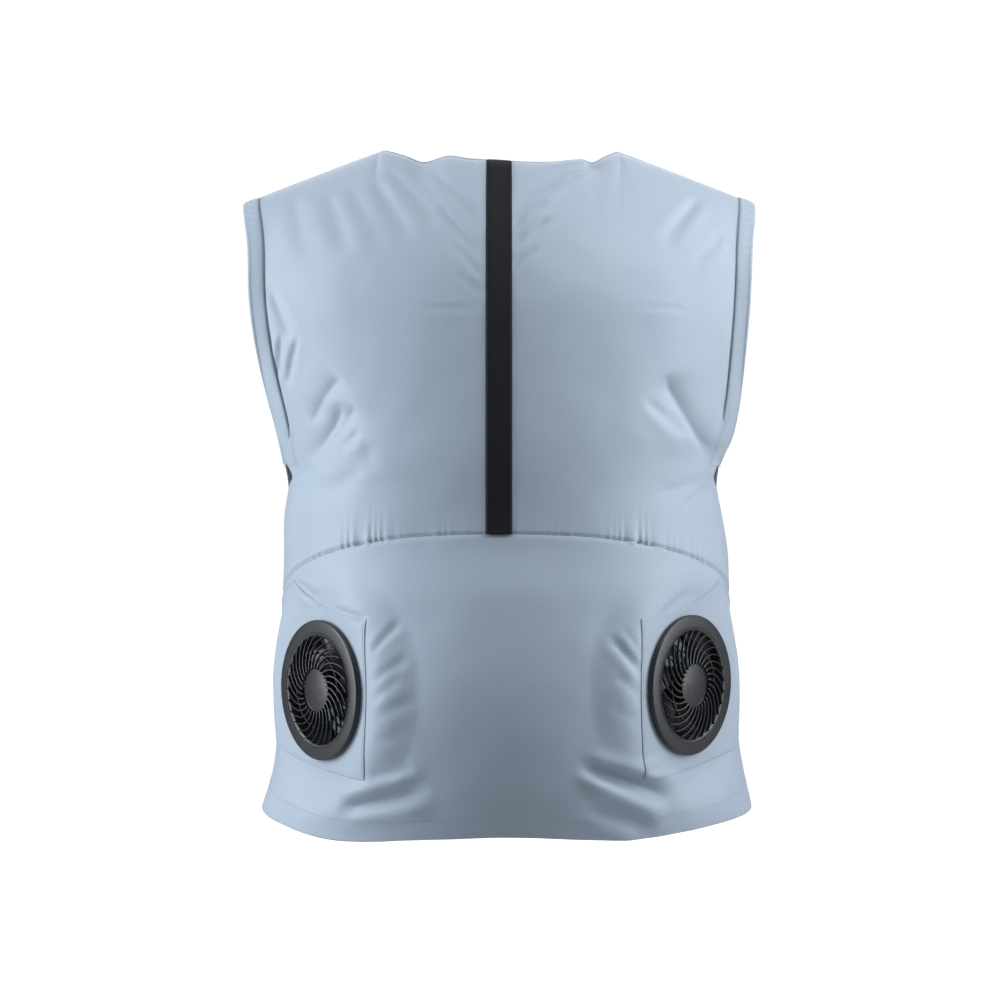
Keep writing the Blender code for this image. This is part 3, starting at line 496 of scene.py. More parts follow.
# Angle of the side edge of the back cloth, which leaves the net open to view under the arm
def edgeTurn(level):
    drop = dropAt(np.full(np.shape(level), 90.0), np.minimum(level, 5.0))
    notch = vest["notch"] * np.exp(-((drop - vest["notchDrop"]) / vest["notchWidth"]) ** 2)
    gusset = 90 - mixed(vest["gussetTip"], vest["gussetHalf"], (level - 3) / 2) - notch
    patchEdge = np.where(level >= 2, 90 - vest["gussetTip"] * (level - 2), 90.0)
    return np.where(level >= 5, reachTurn, np.where(level >= 3, gusset, patchEdge))


# Angle round the body at a distance x from the middle
def turnOf(x, level, side, front=False):
    level = np.asarray(level, float)
    signed = np.full(level.shape, float(side))
    chestHalf = armholeHalf(signed, np.maximum(level - 5, 0)) / math.sin(math.radians(reachTurn))
    bodyHalf = halfWidth(signed, dropAt(np.full(level.shape, 180.0 * side if front else 0.0), np.minimum(level, 5)))
    return np.degrees(np.arcsin(np.minimum(x / np.where(level > 5, chestHalf, bodyHalf), 1.0)))


# Folds of the back as seen from behind: start, bend and end as (across, drop) in metres, then depth,
# width, and how far the lips beside the fold stand out on its left and right as shares of the depth
foldLines = (
    # soft creases below the arms
    ((-0.133, 0.291), (-0.146, 0.301), (-0.158, 0.315), 0.0014, 0.0048, 0.3, 0.4),
    ((-0.121, 0.310), (-0.132, 0.318), (-0.144, 0.327), 0.0010, 0.0060, 0.3, 0.4),
    ((-0.112, 0.306), (-0.138, 0.330), (-0.168, 0.352), 0.0011, 0.0090, 0.3, 0.4),
    ((0.141, 0.262), (0.162, 0.278), (0.186, 0.294), 0.0013, 0.0055, 0.2, 0.5),
    # small drapes beside the left armhole
    ((-0.226, 0.150), (-0.213, 0.176), (-0.204, 0.200), 0.0014, 0.0050, 0.4, 0.4),
    ((-0.214, 0.196), (-0.217, 0.216), (-0.216, 0.236), 0.0015, 0.0032, 0.3, 0.5),
    ((-0.196, 0.198), (-0.204, 0.222), (-0.208, 0.246), 0.0016, 0.0036, 0.3, 0.5),
    # pulls from the neck corners in to the tape
    ((-0.110, 0.030), (-0.082, 0.062), (-0.058, 0.094), 0.0020, 0.0065, 0.5, 0.5),
    ((-0.066, 0.034), (-0.036, 0.064), (-0.014, 0.098), 0.0016, 0.0050, 0.4, 0.5),
    ((-0.060, 0.072), (-0.036, 0.100), (-0.014, 0.134), 0.0016, 0.0050, 0.4, 0.4),
    ((-0.042, 0.113), (-0.028, 0.131), (-0.014, 0.146), 0.0014, 0.0042, 0.4, 0.4),
    ((-0.038, 0.142), (-0.026, 0.153), (-0.014, 0.163), 0.0011, 0.0040, 0.4, 0.4),
    ((0.097, 0.024), (0.048, 0.038), (0.014, 0.072), 0.0026, 0.0060, 0.5, 0.5),
    ((0.060, 0.048), (0.034, 0.060), (0.013, 0.086), 0.0022, 0.0050, 0.4, 0.4),
    ((0.046, 0.068), (0.029, 0.080), (0.013, 0.100), 0.0020, 0.0046, 0.4, 0.4),
    ((0.050, 0.084), (0.029, 0.098), (0.013, 0.116), 0.0018, 0.0046, 0.4, 0.4),
    ((0.036, 0.116), (0.024, 0.126), (0.014, 0.138), 0.0013, 0.0040, 0.4, 0.4),
    # soft drapes under the shoulders
    ((-0.206, 0.050), (-0.200, 0.080), (-0.190, 0.118), 0.0007, 0.0080, 0.6, 0.6),
    ((-0.172, 0.050), (-0.160, 0.080), (-0.146, 0.122), 0.0008, 0.0075, 0.6, 0.6),
    ((-0.148, 0.048), (-0.134, 0.074), (-0.112, 0.108), 0.0007, 0.0075, 0.5, 0.5),
    ((-0.121, 0.044), (-0.104, 0.074), (-0.084, 0.108), 0.0012, 0.0080, 0.5, 0.5),
    ((0.200, 0.056), (0.180, 0.078), (0.160, 0.108), 0.0017, 0.0062, 0.6, 0.5),
    ((0.222, 0.098), (0.208, 0.108), (0.190, 0.124), 0.0012, 0.0055, 0.5, 0.4),
    # crease across the back from how the cloth was folded
    ((-0.082, 0.174), (-0.052, 0.177), (-0.022, 0.176), 0.0007, 0.0026, 0.5, 0.5),
    ((0.132, 0.172), (0.156, 0.171), (0.184, 0.173), 0.0007, 0.0026, 0.5, 0.5),
    # low creases over the hem
    ((-0.150, 0.650), (-0.112, 0.640), (-0.068, 0.626), 0.0062, 0.0068, 0.7, 0.5),
    ((0.076, 0.604), (0.122, 0.620), (0.166, 0.642), 0.0070, 0.0070, 0.6, 0.7),
    ((0.080, 0.644), (0.112, 0.652), (0.146, 0.670), 0.0034, 0.0075, 0.5, 0.5),
    ((0.136, 0.611), (0.151, 0.613), (0.165, 0.611), 0.0014, 0.0045, 0.4, 0.4),
    ((-0.198, 0.437), (-0.188, 0.447), (-0.176, 0.453), 0.0026, 0.0040, 0.4, 0.4),
    ((-0.158, 0.462), (-0.140, 0.466), (-0.124, 0.470), 0.0018, 0.0036, 0.4, 0.4),
    ((0.150, 0.470), (0.166, 0.460), (0.182, 0.446), 0.0018, 0.0036, 0.4, 0.4),
    # puckers fanning out from the patches' inner seams
    ((-0.119, 0.500), (-0.106, 0.484), (-0.092, 0.470), 0.0015, 0.0036, 0.3, 0.35),
    ((-0.118, 0.527), (-0.102, 0.514), (-0.084, 0.503), 0.0016, 0.0040, 0.3, 0.35),
    ((-0.118, 0.545), (-0.106, 0.532), (-0.090, 0.520), 0.0012, 0.0038, 0.3, 0.35),
    ((-0.118, 0.560), (-0.098, 0.551), (-0.076, 0.541), 0.0011, 0.0042, 0.3, 0.35),
    ((-0.118, 0.584), (-0.102, 0.578), (-0.084, 0.574), 0.0007, 0.0045, 0.3, 0.35),
    ((0.134, 0.518), (0.119, 0.503), (0.105, 0.484), 0.0030, 0.0040, 0.35, 0.4),
    ((0.134, 0.502), (0.122, 0.489), (0.116, 0.476), 0.0013, 0.0032, 0.3, 0.35),
    ((0.134, 0.541), (0.122, 0.529), (0.108, 0.520), 0.0015, 0.0036, 0.3, 0.35),
    ((0.134, 0.566), (0.120, 0.557), (0.104, 0.549), 0.0009, 0.0040, 0.3, 0.35),
)
# Folds drawn in to a sharp line: start, bend and end, then the depth, how far the cloth falls towards
# the line on its near and far side, and the near side as seen along the line (1 right, -1 left)
overFolds = (
    ((-0.153, 0.240), (-0.170, 0.252), (-0.184, 0.281), 0.0042, 0.0085, 0.0070, -1),
    ((-0.154, 0.266), (-0.161, 0.295), (-0.204, 0.336), 0.0075, 0.0110, 0.0120, -1),
    ((-0.139, 0.268), (-0.149, 0.281), (-0.160, 0.296), 0.0036, 0.0060, 0.0050, -1),
    ((0.162, 0.240), (0.177, 0.268), (0.213, 0.317), 0.0080, 0.0120, 0.0120, 1),
    ((0.153, 0.350), (0.184, 0.344), (0.212, 0.330), 0.0014, 0.0060, 0.0050, 1),
    ((0.180, 0.362), (0.192, 0.355), (0.204, 0.342), 0.0012, 0.0040, 0.0035, 1),
    ((-0.094, 0.030), (-0.058, 0.064), (-0.017, 0.120), 0.0010, 0.0070, 0.0065, -1),
    ((-0.120, 0.616), (-0.102, 0.612), (-0.080, 0.606), 0.0020, 0.0065, 0.0050, 1),
)
# Gathers along a seam: from angle, to angle, level, length up, pitch and depth
gathers = (
    (-62, -22, 3, 0.020, 0.0088, 0.0016),
    (22, 62, 3, 0.020, 0.0084, 0.0018),
    (-22, 22, 3, 0.012, 0.0076, 0.0005),
)
softWave = {"size": 0.085, "depth": 0.0011, "fineSize": 0.032, "fineDepth": 0.0005}
# Steps for finding the outward direction, and where folds fade out beside the fans and the bands
probe = {"turn": 0.2, "level": 0.02, "rise": 0.0025}
calmNear = {"fanGap": 0.004, "fanFade": 0.022, "bandGap": 0.008, "bandFade": 0.012}


# Points along the bent line of a fold
def foldLine(line):
    start, bend, end = (np.array(point) for point in line[:3])
    share = np.linspace(0, 1, 9)[:, None]
    return start * (1 - share) ** 2 + 2 * bend * share * (1 - share) + end * share ** 2


# Distance from a fold's line, share of the way along it, and the side
def nearFold(view, path):
    best = np.full(view.shape[:-1], 1.0)
    share, side = np.zeros(best.shape), np.zeros(best.shape)
    for k, (a, b) in enumerate(zip(path, path[1:])):
        run = b - a
        along = ((view - a) @ run) / (run @ run)
        gap = view - a - np.clip(along, 0, 1)[..., None] * run
        away = np.linalg.norm(gap, axis=-1)
        closer = away < best
        best = np.where(closer, away, best)
        low, high = -1.5 if k == 0 else 0, 2.5 if k == len(path) - 2 else 1
        share = np.where(closer, (k + np.clip(along, low, high)) / (len(path) - 1), share)
        side = np.where(closer, np.sign(run[0] * gap[..., 1] - run[1] * gap[..., 0]), side)
    return best, share, side


# How far folds and gathers push the cloth out (or in, below 0) at each point
def foldHeight(point, turn, level):
    view = np.stack([point[..., 0], -point[..., 2]], -1)
    height = np.zeros(view.shape[:-1])
    for line in overFolds:
        step, lipReach, sunkReach, lipSide = line[3:]
        best, share, side = nearFold(view, foldLine(line))
        ends = ease(share / 0.30 + 0.35) * ease((1 - share) / 0.25 + 0.35)
        reach = np.where(side * lipSide > 0, lipReach, sunkReach)
        height -= step * ends * np.exp(-np.hypot(best, vest["foldRound"]) / reach)
    for line in foldLines:
        depth, width, lipLeft, lipRight = line[3:]
        best, share, side = nearFold(view, foldLine(line))
        ends = ease(share / 0.30 + 0.25) * ease((1 - share) / 0.34 + 0.25)
        spread = width * (0.75 + 0.45 * share)
        lip = np.where(side < 0, lipLeft, lipRight)
        height -= depth * ends * np.exp(-(best / spread) ** 2)
        height += depth * lip * ends * np.exp(-((best - 2.1 * spread) / (1.15 * spread)) ** 2)
    drops = seamDrops(turn)
    for first, last, seam, length, pitch, depth in gathers:
        away = (drops[seam] - dropAt(turn, np.minimum(level, 5.0))) / length
        window = ease((turn - first) / 6) * ease((last - turn) / 6)
        window = window * np.exp(-np.maximum(away, 0) * 2.2) * (away > -0.08)
        phase = point[..., 0] / pitch
        ripple = np.sin(math.tau * (phase + 0.35 * np.sin(phase * 1.9) + 0.3 * np.sin(phase * 0.53)))
        height += depth * window * ripple * (0.65 + 0.35 * np.sin(phase * 0.81 + 1.0))
    return height * ease(-point[..., 1] / 0.03)


# Broad and fine unevenness of the cloth
def waveHeight(point):
    flat = point.reshape(-1, 3)
    broad = np.array([noise.noise(Vector(p) / softWave["size"]) for p in flat]) * softWave["depth"]
    fine = np.array([noise.noise(Vector(p + 5.0) / softWave["fineSize"]) for p in flat]) * softWave["fineDepth"]
    return (broad + fine).reshape(point.shape[:-1])


# Folded outer point of the cloth and the direction its offsets are measured in
def shellPoint(turn, level):
    turn, level = np.broadcast_arrays(np.asarray(turn, float), np.asarray(level, float))
    point = facePoint(turn, level)
    before, after = facePoint(turn - probe["turn"], level), facePoint(turn + probe["turn"], level)
    high = level > 5
    lower = facePoint(turn, np.where(high, level - probe["rise"], np.maximum(level - probe["level"], 0)))
    upper = facePoint(turn, np.where(high, level, np.minimum(level + probe["level"], 5)))
    upper = np.where(high[..., None], point, upper)
    outward = np.cross(after - before, upper - lower)
    outward /= np.maximum(np.linalg.norm(outward, axis=-1, keepdims=True), 1e-9)
    calm = np.ones(turn.shape)
    for fan in fans.values():
        calm *= ease((aroundFan(point, fan)[2] - vest["flangeRadius"] - calmNear["fanGap"]) / calmNear["fanFade"])
    armEdge = armholeHalf(turn, np.maximum(level - 5, 0)) - np.abs(point[..., 0])
    calm *= np.where(high, ease((armEdge - calmNear["bandGap"]) / calmNear["bandFade"]), 1.0)
    height = (foldHeight(point, turn, level) + waveHeight(point)) * calm
    return point + outward * height[..., None], outward


# A grid primitive whose points are laid on the cloth, with its UV map in metres
def gridPiece(name, points):
    rows, columns = points.shape[:2]
    deselectAll()
    bpy.ops.mesh.primitive_grid_add(x_subdivisions=columns - 1, y_subdivisions=rows - 1, size=2)
    piece = keepAs(name)
    mesh = piece.data
    flat = np.empty(len(mesh.vertices) * 3)
    mesh.vertices.foreach_get("co", flat)
    flat = flat.reshape(-1, 3)
    row = np.rint((flat[:, 1] + 1) / 2 * (rows - 1)).astype(int)
    column = np.rint((flat[:, 0] + 1) / 2 * (columns - 1)).astype(int)
    mesh.vertices.foreach_set("co", points[row, column].ravel())
    width = np.linalg.norm(np.diff(points, axis=1), axis=-1).sum(1).mean()
    length = np.linalg.norm(np.diff(points, axis=0), axis=-1).sum(0).mean()
    uv = np.empty(len(mesh.loops) * 2)
    mesh.uv_layers.active.data.foreach_get("uv", uv)
    mesh.uv_layers.active.data.foreach_set("uv", (uv.reshape(-1, 2) * (width, length)).ravel())
    mesh.update()
    return piece


def thicken(piece, wall):
    addModifier(piece, "SOLIDIFY", thickness=wall, offset=-1)
    pick(piece)
    bpy.ops.object.shade_smooth()
    return piece


# Shares from 0 to 1 that lie closer together towards the ends
def crowd(count, low=0.6, high=0.6):
    share = np.linspace(0, 1, count + 1)
    bent = share * share * (3 - 2 * share)
    return mixed(share, bent, mixed(low, high, share))


# Levels through spans of (from, to, cells)
def levelRows(*spans):
    found = [float(spans[0][0])]
    for first, last, count in spans:
        if last == 6:
            share = np.sin(np.linspace(0, 1, count + 1) * math.pi / 2) ** 0.9
        else:
            share = crowd(count) if count > 8 else np.linspace(0, 1, count + 1)
        found += list(mixed(first, last, share[1:]))
    return np.array(found)


hem = {"roll": 0.0013, "turnUp": 0.36}
backPanel = {"columns": 250, "halfColumns": 190, "wall": 0.0009, "seamDip": 0.0011, "seamWidth": 0.0022,
             "clothHole": 0.0575}
join = {"share": 0.5, "width": 0.010, "rounds": 30}


# Rows that carry the hem round inside: a small roll, then back up the inner face
def rolledHem(turns, rows):
    first = rows[0]
    point, outward = shellPoint(turns[0], np.full(turns.shape[1], first))
    roll = hem["roll"]
    below = []
    for angle in np.linspace(0, math.pi, 6)[1:]:
        ring = point - outward * roll * (1 - math.cos(angle))
        ring[:, 2] -= roll * math.sin(angle)
        below.append(ring)
    for share in (0.35, 0.7, 1.0):
        inner, direction = shellPoint(turns[0], np.full(turns.shape[1], first + share * hem["turnUp"]))
        below.append(inner - direction * 2 * roll)
    return np.stack(below[::-1])


# Edges of a panel turn in at its seams
def dipAtSeams(points, outward, turns, levels, seams):
    drop = dropAt(turns, np.minimum(levels, 5.0))
    for seam in seams:
        away = np.abs(drop - seamDrops(turns)[seam])
        dip = backPanel["seamDip"] * np.exp(-(away / backPanel["seamWidth"]) ** 2)
        points = points - outward * dip[..., None]
    return points


# Rows of points over the shell between the angles at each level, evened where chest and body meet
def panelGrid(turnsAt, rows, seams=(), offset=0.0, hemmed=False):
    turns = np.stack([turnsAt(level) for level in rows])
    levels = np.broadcast_to(rows[:, None], turns.shape)
    points, outward = shellPoint(turns, levels)
    points = dipAtSeams(points, outward, turns, levels, seams) + outward * offset
    if rows[-1] > 5:
        near = np.exp(-((points[..., 2] + vest["underarmDrop"]) / join["width"]) ** 2)[1:-1, :, None]
        for settle in range(join["rounds"]):
            points[1:-1] += join["share"] * near * ((points[:-2] + points[2:]) / 2 - points[1:-1])
    if hemmed:
        points = np.concatenate([rolledHem(turns, rows), points])
    return points


# Deletes the cloth inside the flange, which hides the cut edge
def openForFan(piece, side):
    centre, outward = fans[side]
    mesh = piece.data
    spots = np.array([vertex.co for vertex in mesh.vertices])
    radius = aroundFan(spots, fans[side])[2]
    near = (np.linalg.norm(spots - centre, axis=1) < 0.07) & (radius < backPanel["clothHole"])
    pick(piece)
    mesh.vertices.foreach_set("select", near)
    mesh.edges.foreach_set("select", np.zeros(len(mesh.edges), bool))
    mesh.polygons.foreach_set("select", np.zeros(len(mesh.polygons), bool))
    bpy.ops.object.mode_set(mode="EDIT")
    bpy.ops.mesh.select_mode(type="VERT")
    bpy.ops.mesh.delete(type="VERT")
    bpy.ops.object.mode_set(mode="OBJECT")


halfShares = np.linspace(0, 1, backPanel["halfColumns"] + 1)
upperRows = levelRows((3, 4, 42), (4, 5, 8), (5, 5.32, 44), (5.32, 6, 96))
for side, sign in bothSides:
    piece = gridPiece(f"upper_back_cloth_{side}", panelGrid(
        lambda level: np.sort(sign * edgeTurn(level) * halfShares), upperRows, seams=(3,)))
    thicken(piece, backPanel["wall"])
    finishPiece(piece, shellCloth, replaces=["upper_back_panel"])
columns = np.linspace(-1, 1, backPanel["columns"] + 1)
lowerRows = levelRows((0, 1, 16), (1, 2, 42), (2, 3, 26))
lower = gridPiece("lower_back_cloth", panelGrid(lambda level: columns * edgeTurn(level), lowerRows, seams=(3,),
                                                hemmed=True))
for side in fans:
    openForFan(lower, side)
thicken(lower, backPanel["wall"])
finishPiece(lower, shellCloth, replaces=["lower_back_panel"])
print("back panels laid")

frontPanel = {"columns": 90, "zipHalf": 0.0105}
airCloth = {"steps": 15, "quality": 5, "pressure": 2.2, "looser": 0.022, "most": 0.0055, "hemTop": -0.648,
            "bandHeld": 0.0185, "bandFoot": -0.33, "mass": 0.12, "stiffness": 18, "bending": 0.25, "gravity": 0.3}
frontRows = levelRows((0, 1, 12), (1, 2, 30), (2, 3, 14), (3, 4, 12), (4, 5, 4), (5, 6, 70))


def frontTurns(level, side):
    inner = 180 - turnOf(frontPanel["zipHalf"], level, side, True)
    turns = mixed(180 - edgeTurn(level), inner, np.linspace(0, 1, frontPanel["columns"] + 1))
    return np.sort(turns * side)


# Lets the air push a panel out between its sewn edges, and caps how far it moves
def blowUp(piece):
    mesh = piece.data
    rest = np.array([vertex.co for vertex in mesh.vertices])
    rows = rest.reshape(-1, frontPanel["columns"] + 1, 3)
    reach, height = np.abs(rows[:, :, 0]), rows[:, :, 2]
    underBand = (reach > reach.max(1, keepdims=True) - airCloth["bandHeld"]) & (height > airCloth["bandFoot"])
    sewn = (height < airCloth["hemTop"]) | underBand
    sewn[[0, -1]] = True
    sewn[:, [0, 1, -2, -1]] = True
    group = piece.vertex_groups.new(name="sewn")
    group.add(np.nonzero(sewn.ravel())[0].tolist(), 1.0, "REPLACE")
    pick(piece)
    cloth = piece.modifiers.new("air", "CLOTH")
    settings = cloth.settings
    settings.vertex_group_mass = "sewn"
    settings.quality, settings.mass = airCloth["quality"], airCloth["mass"]
    settings.tension_stiffness = settings.compression_stiffness = airCloth["stiffness"]
    settings.bending_stiffness = airCloth["bending"]
    settings.shrink_min = -airCloth["looser"]
    settings.use_pressure, settings.uniform_pressure_force = True, airCloth["pressure"]
    settings.effector_weights.gravity = airCloth["gravity"]
    cloth.point_cache.frame_start, cloth.point_cache.frame_end = 1, airCloth["steps"]
    for step in range(1, airCloth["steps"] + 1):
        bpy.context.scene.frame_set(step)
    bpy.ops.object.modifier_apply(modifier=cloth.name)
    bpy.context.scene.frame_set(1)
    piece.vertex_groups.clear()
    moved = np.array([vertex.co for vertex in mesh.vertices]) - rest
    far = np.linalg.norm(moved, axis=1)
    print("air moves", piece.name, "by at most", round(float(far.max()) * 1000, 1), "mm")
    capped = airCloth["most"] * np.tanh(far / airCloth["most"]) / np.maximum(far, 1e-9)
    mesh.vertices.foreach_set("co", (rest + moved * capped[:, None]).ravel())
    mesh.update()


for side, sign in bothSides:
    piece = gridPiece(f"front_cloth_{side}", panelGrid(lambda level: frontTurns(level, sign), frontRows, hemmed=True))
    blowUp(piece)
    thicken(piece, backPanel["wall"])
    finishPiece(piece, shellCloth, replaces=[f"front_panel_{side}"])
print("fronts laid")

# Reinforcing patches round the fans
patch = {"columns": 80, "lift": 0.0007, "wall": 0.0005}
for side, sign in bothSides:
    turnShares = crowd(patch["columns"], 0.6, 0.2)
    piece = gridPiece(f"fan_patch_cloth_{side}", panelGrid(
        lambda level: np.sort(sign * mixed(vest["patchTurn"], edgeTurn(level), turnShares)), levelRows((1, 2, 60)),
        offset=patch["lift"]))
    openForFan(piece, side)
    thicken(piece, patch["wall"])
    finishPiece(piece, shellCloth, replaces=[f"fan_patch_{side}"])
print("patches laid")

# Mesh gussets under the arms
gusset = {"columns": 18, "tuck": 1.2, "sink": 0.0010, "wall": 0.0006}
gussetRows = levelRows((2.96, 3, 2), (3, 4, 40), (4, 5, 8))
for side, sign in bothSides:
    def gussetTurns(level):
        reach = 90 - edgeTurn(level) + gusset["tuck"]
        return np.sort(sign * (90 + reach * np.linspace(-1, 1, gusset["columns"] + 1)))
    piece = gridPiece(f"side_net_{side}", panelGrid(gussetTurns, gussetRows, offset=-gusset["sink"]))
    thicken(piece, gusset["wall"])
    finishPiece(piece, netCloth, replaces=[f"side_gusset_{side}"])

# Tape down the centre back
tape = {"half": 0.0125, "lift": 0.0015, "wall": 0.0011, "columns": 10, "edgeDrop": 0.0005}
tapeShares = np.linspace(-1, 1, tape["columns"] + 1)
tapeRows = levelRows((3, 4, 20), (4, 5, 5), (5, 6, 88))


def tapeTurns(level):
    half = turnOf(tape["half"], level, 1)
    other = turnOf(tape["half"], level, -1)
    return np.where(tapeShares > 0, tapeShares * half, tapeShares * other)


turns = np.stack([tapeTurns(level) for level in tapeRows])
points, outward = shellPoint(turns, np.broadcast_to(tapeRows[:, None], turns.shape))
lift = tape["lift"] - tape["edgeDrop"] * np.abs(tapeShares) ** 8
backTape = thicken(gridPiece("back_tape", points + outward * lift[None, :, None]), tape["wall"])
finishPiece(backTape, tapeCloth, replaces=["centre_back_tape"])

# Armhole bands: a strip folded round the edge from outside to inside
band = {"width": 0.0165, "lift": 0.0011, "innerLift": 0.38, "roll": 0.0011, "wall": 0.0006, "across": 11,
        "ripple": 0.0005, "ripplePitch": 0.0095, "rippleSlant": 0.012, "foot": 4.7, "corner": 0.055,
        "inset": 0.0022, "rounding": 60, "roundDrop": 0.262, "roundFade": 0.03}


# Length run along a line up to each of its points
def runAlong(points):
    return np.concatenate([[0], np.cumsum(np.linalg.norm(np.diff(points, axis=0), axis=1))])


# Edge and inner line of a band as (turn, level) pairs, from the back's shoulder round to the front's
def bandEdge(sign):
    levels = 5 + (np.sin(np.linspace(0, 1, 91) * math.pi / 2) ** 0.9)[::-1]
    rows = []
    for front in (False, True):
        for level in levels:
            edge = float(edgeTurn(level))
            arm = 180 - reachTurn if front else reachTurn
            half = float(np.abs(facePoint(np.array(arm * sign), np.array(level))[0]))
            inner = float(turnOf(half - band["width"], level, sign, front))
            if front:
                edge, inner = 180 - edge, 180 - inner
            fall = float(ease(1 - (level - 5) / band["corner"]))
            rows.append((sign * edge, level, sign * inner, mixed(level, band["foot"], fall)))
        if not front:
            backSide, rows = rows, []
    middle = []
    for share in np.linspace(0, 1, 26)[1:-1]:
        turn = mixed(float(edgeTurn(5.0)), 180 - float(edgeTurn(5.0)), share)
        inner = mixed(backSide[-1][2], rows[-1][2], share)
        middle.append((sign * turn, 5.0, inner, band["foot"]))
    return np.array(backSide + middle + rows[::-1])


# Evens the ring out near the underarm corners
def roundCorners(points, outward):
    for turn in range(band["rounding"]):
        nearFoot = ease((-points[:, -1, 2] - band["roundDrop"]) / band["roundFade"])[1:-1, None, None] * 0.5
        points[1:-1] += nearFoot * ((points[:-2] + points[2:]) / 2 - points[1:-1])
        outward[1:-1] += nearFoot * ((outward[:-2] + outward[2:]) / 2 - outward[1:-1])
    outward /= np.linalg.norm(outward, axis=-1, keepdims=True)
    return points, outward


for side, sign in bothSides:
    path = bandEdge(sign)
    shares = np.linspace(0, 1, band["across"])
    turns = mixed(path[:, [2]], path[:, [0]], shares[None])
    levels = mixed(path[:, [3]], path[:, [1]], shares[None])
    points, outward = shellPoint(turns, levels)
    slant = runAlong(points[:, -1])[:, None] + shares[None] * band["rippleSlant"]
    ripple = band["ripple"] * np.sin(math.tau * slant / band["ripplePitch"] + 1.3 * np.sin(slant * 55))
    ripple = ripple * np.sin(shares * math.pi)[None]
    points, outward = roundCorners(points, outward)
    edgeOut = points[:, -1] - points[:, -2]
    edgeOut /= np.linalg.norm(edgeOut, axis=1, keepdims=True)
    points = points - edgeOut[:, None] * (band["inset"] * shares[None, :, None] ** 2)
    lift = band["lift"] * mixed(band["innerLift"], 1.0, ease(shares / 0.15))[None]
    face = points + outward * (lift + ripple)[..., None]
    strips = [face[:, k] for k in range(band["across"])]
    thick = band["lift"] + backPanel["wall"] + band["roll"]
    for angle in np.linspace(0, math.pi, 7)[1:]:
        strips.append(face[:, -1] - outward[:, -1] * thick / 2 * (1 - math.cos(angle))
                      + edgeOut * thick / 2 * math.sin(angle))
    for share in (0.5, 1.0):
        strips.append(mixed(points[:, -1], points[:, 0], share) - outward[:, -1] * (thick - band["lift"]))
    grid = np.stack(strips)
    piece = gridPiece(f"armhole_binding_{side}", grid if sign < 0 else grid[::-1])
    thicken(piece, band["wall"])
    finishPiece(piece, shellCloth, replaces=[f"armhole_band_{side}"])
print("bands and tape laid")

# Closed front zip
zipper = {"half": 0.0125, "lift": 0.0004, "wall": 0.0010, "pitch": 0.0026, "tooth": (0.0029, 0.00095, 0.0011),
          "shift": 0.0011}
zipShares = np.linspace(-1, 1, 9)
turns = 180 + np.stack([zipShares * np.where(zipShares < 0, turnOf(zipper["half"], level, 1, True),
                                             turnOf(zipper["half"], level, -1, True)) for level in frontRows])
signed = np.where(turns > 180, turns - 360, turns)
points, outward = shellPoint(signed, np.broadcast_to(frontRows[:, None], turns.shape))
zipTape = thicken(gridPiece("zip_tape", points - outward * zipper["lift"]), zipper["wall"])
finishPiece(zipTape, tapeCloth, replaces=["front_zip"])


# Small beads of one size (length, width, height) set along a line: stitches and zip teeth
def setAlong(name, points, outward, pitch, size, shift=0.0, alternate=False):
    deselectAll()
    bpy.ops.mesh.primitive_ico_sphere_add(subdivisions=1, radius=1)
    bead = keepAs("bead")
    shape = np.array([vertex.co for vertex in bead.data.vertices])
    faces = np.array([list(polygon.vertices) for polygon in bead.data.polygons])
    run = runAlong(points)
    places = np.arange(pitch / 2, run[-1], pitch)
    spots, normals = (np.stack([np.interp(places, run, line[:, k]) for k in range(3)], -1)
                      for line in (points, outward))
    normals /= np.linalg.norm(normals, axis=1, keepdims=True)
    tangent = np.gradient(spots, axis=0)
    tangent /= np.linalg.norm(tangent, axis=1, keepdims=True)
    across = np.cross(normals, tangent)
    sway = np.where(np.arange(len(spots)) % 2, 1.0, -1.0)[:, None] * shift if alternate else shift
    spots = spots + across * sway
    local = shape * (np.array(size) / 2)
    copies = (spots[:, None] + tangent[:, None] * local[None, :, [0]] + across[:, None] * local[None, :, [1]]
              + normals[:, None] * local[None, :, [2]])
    bpy.data.objects.remove(bead)
    mesh = bpy.data.meshes.new(name)
    allFaces = (faces[None] + (np.arange(len(spots)) * len(shape))[:, None, None]).reshape(-1, 3)
    mesh.from_pydata(copies.reshape(-1, 3).tolist(), [], allFaces.tolist())
    piece = bpy.data.objects.new(name, mesh)
    bpy.context.scene.collection.objects.link(piece)
    smoothShade(piece, 60)
    return piece


middle = np.full(len(frontRows), 179.99)
points, outward = shellPoint(middle, frontRows)
toothLength, toothWidth, toothHeight = zipper["tooth"]
teeth = setAlong("zip_teeth", points + outward * 0.0003, outward, zipper["pitch"] / 2,
                 (toothWidth, toothLength, toothHeight), shift=zipper["shift"], alternate=True)
finishPiece(teeth, mouldedPlastic)

stitch = {"pitch": 0.0034, "size": (0.0028, 0.00055, 0.00045), "stand": 0.0002, "hemLevel": 0.33, "inset": 0.7,
          "tapeInset": 0.0022, "overWaist": 0.0032}


# A row of stitches through the points at these angles and levels
def sewAlong(name, turns, levels, lift=stitch["stand"], material=threadCloth):
    points, outward = shellPoint(turns, levels)
    row = setAlong(name, points + outward * lift, outward, stitch["pitch"], stitch["size"])
    finishPiece(row, material)


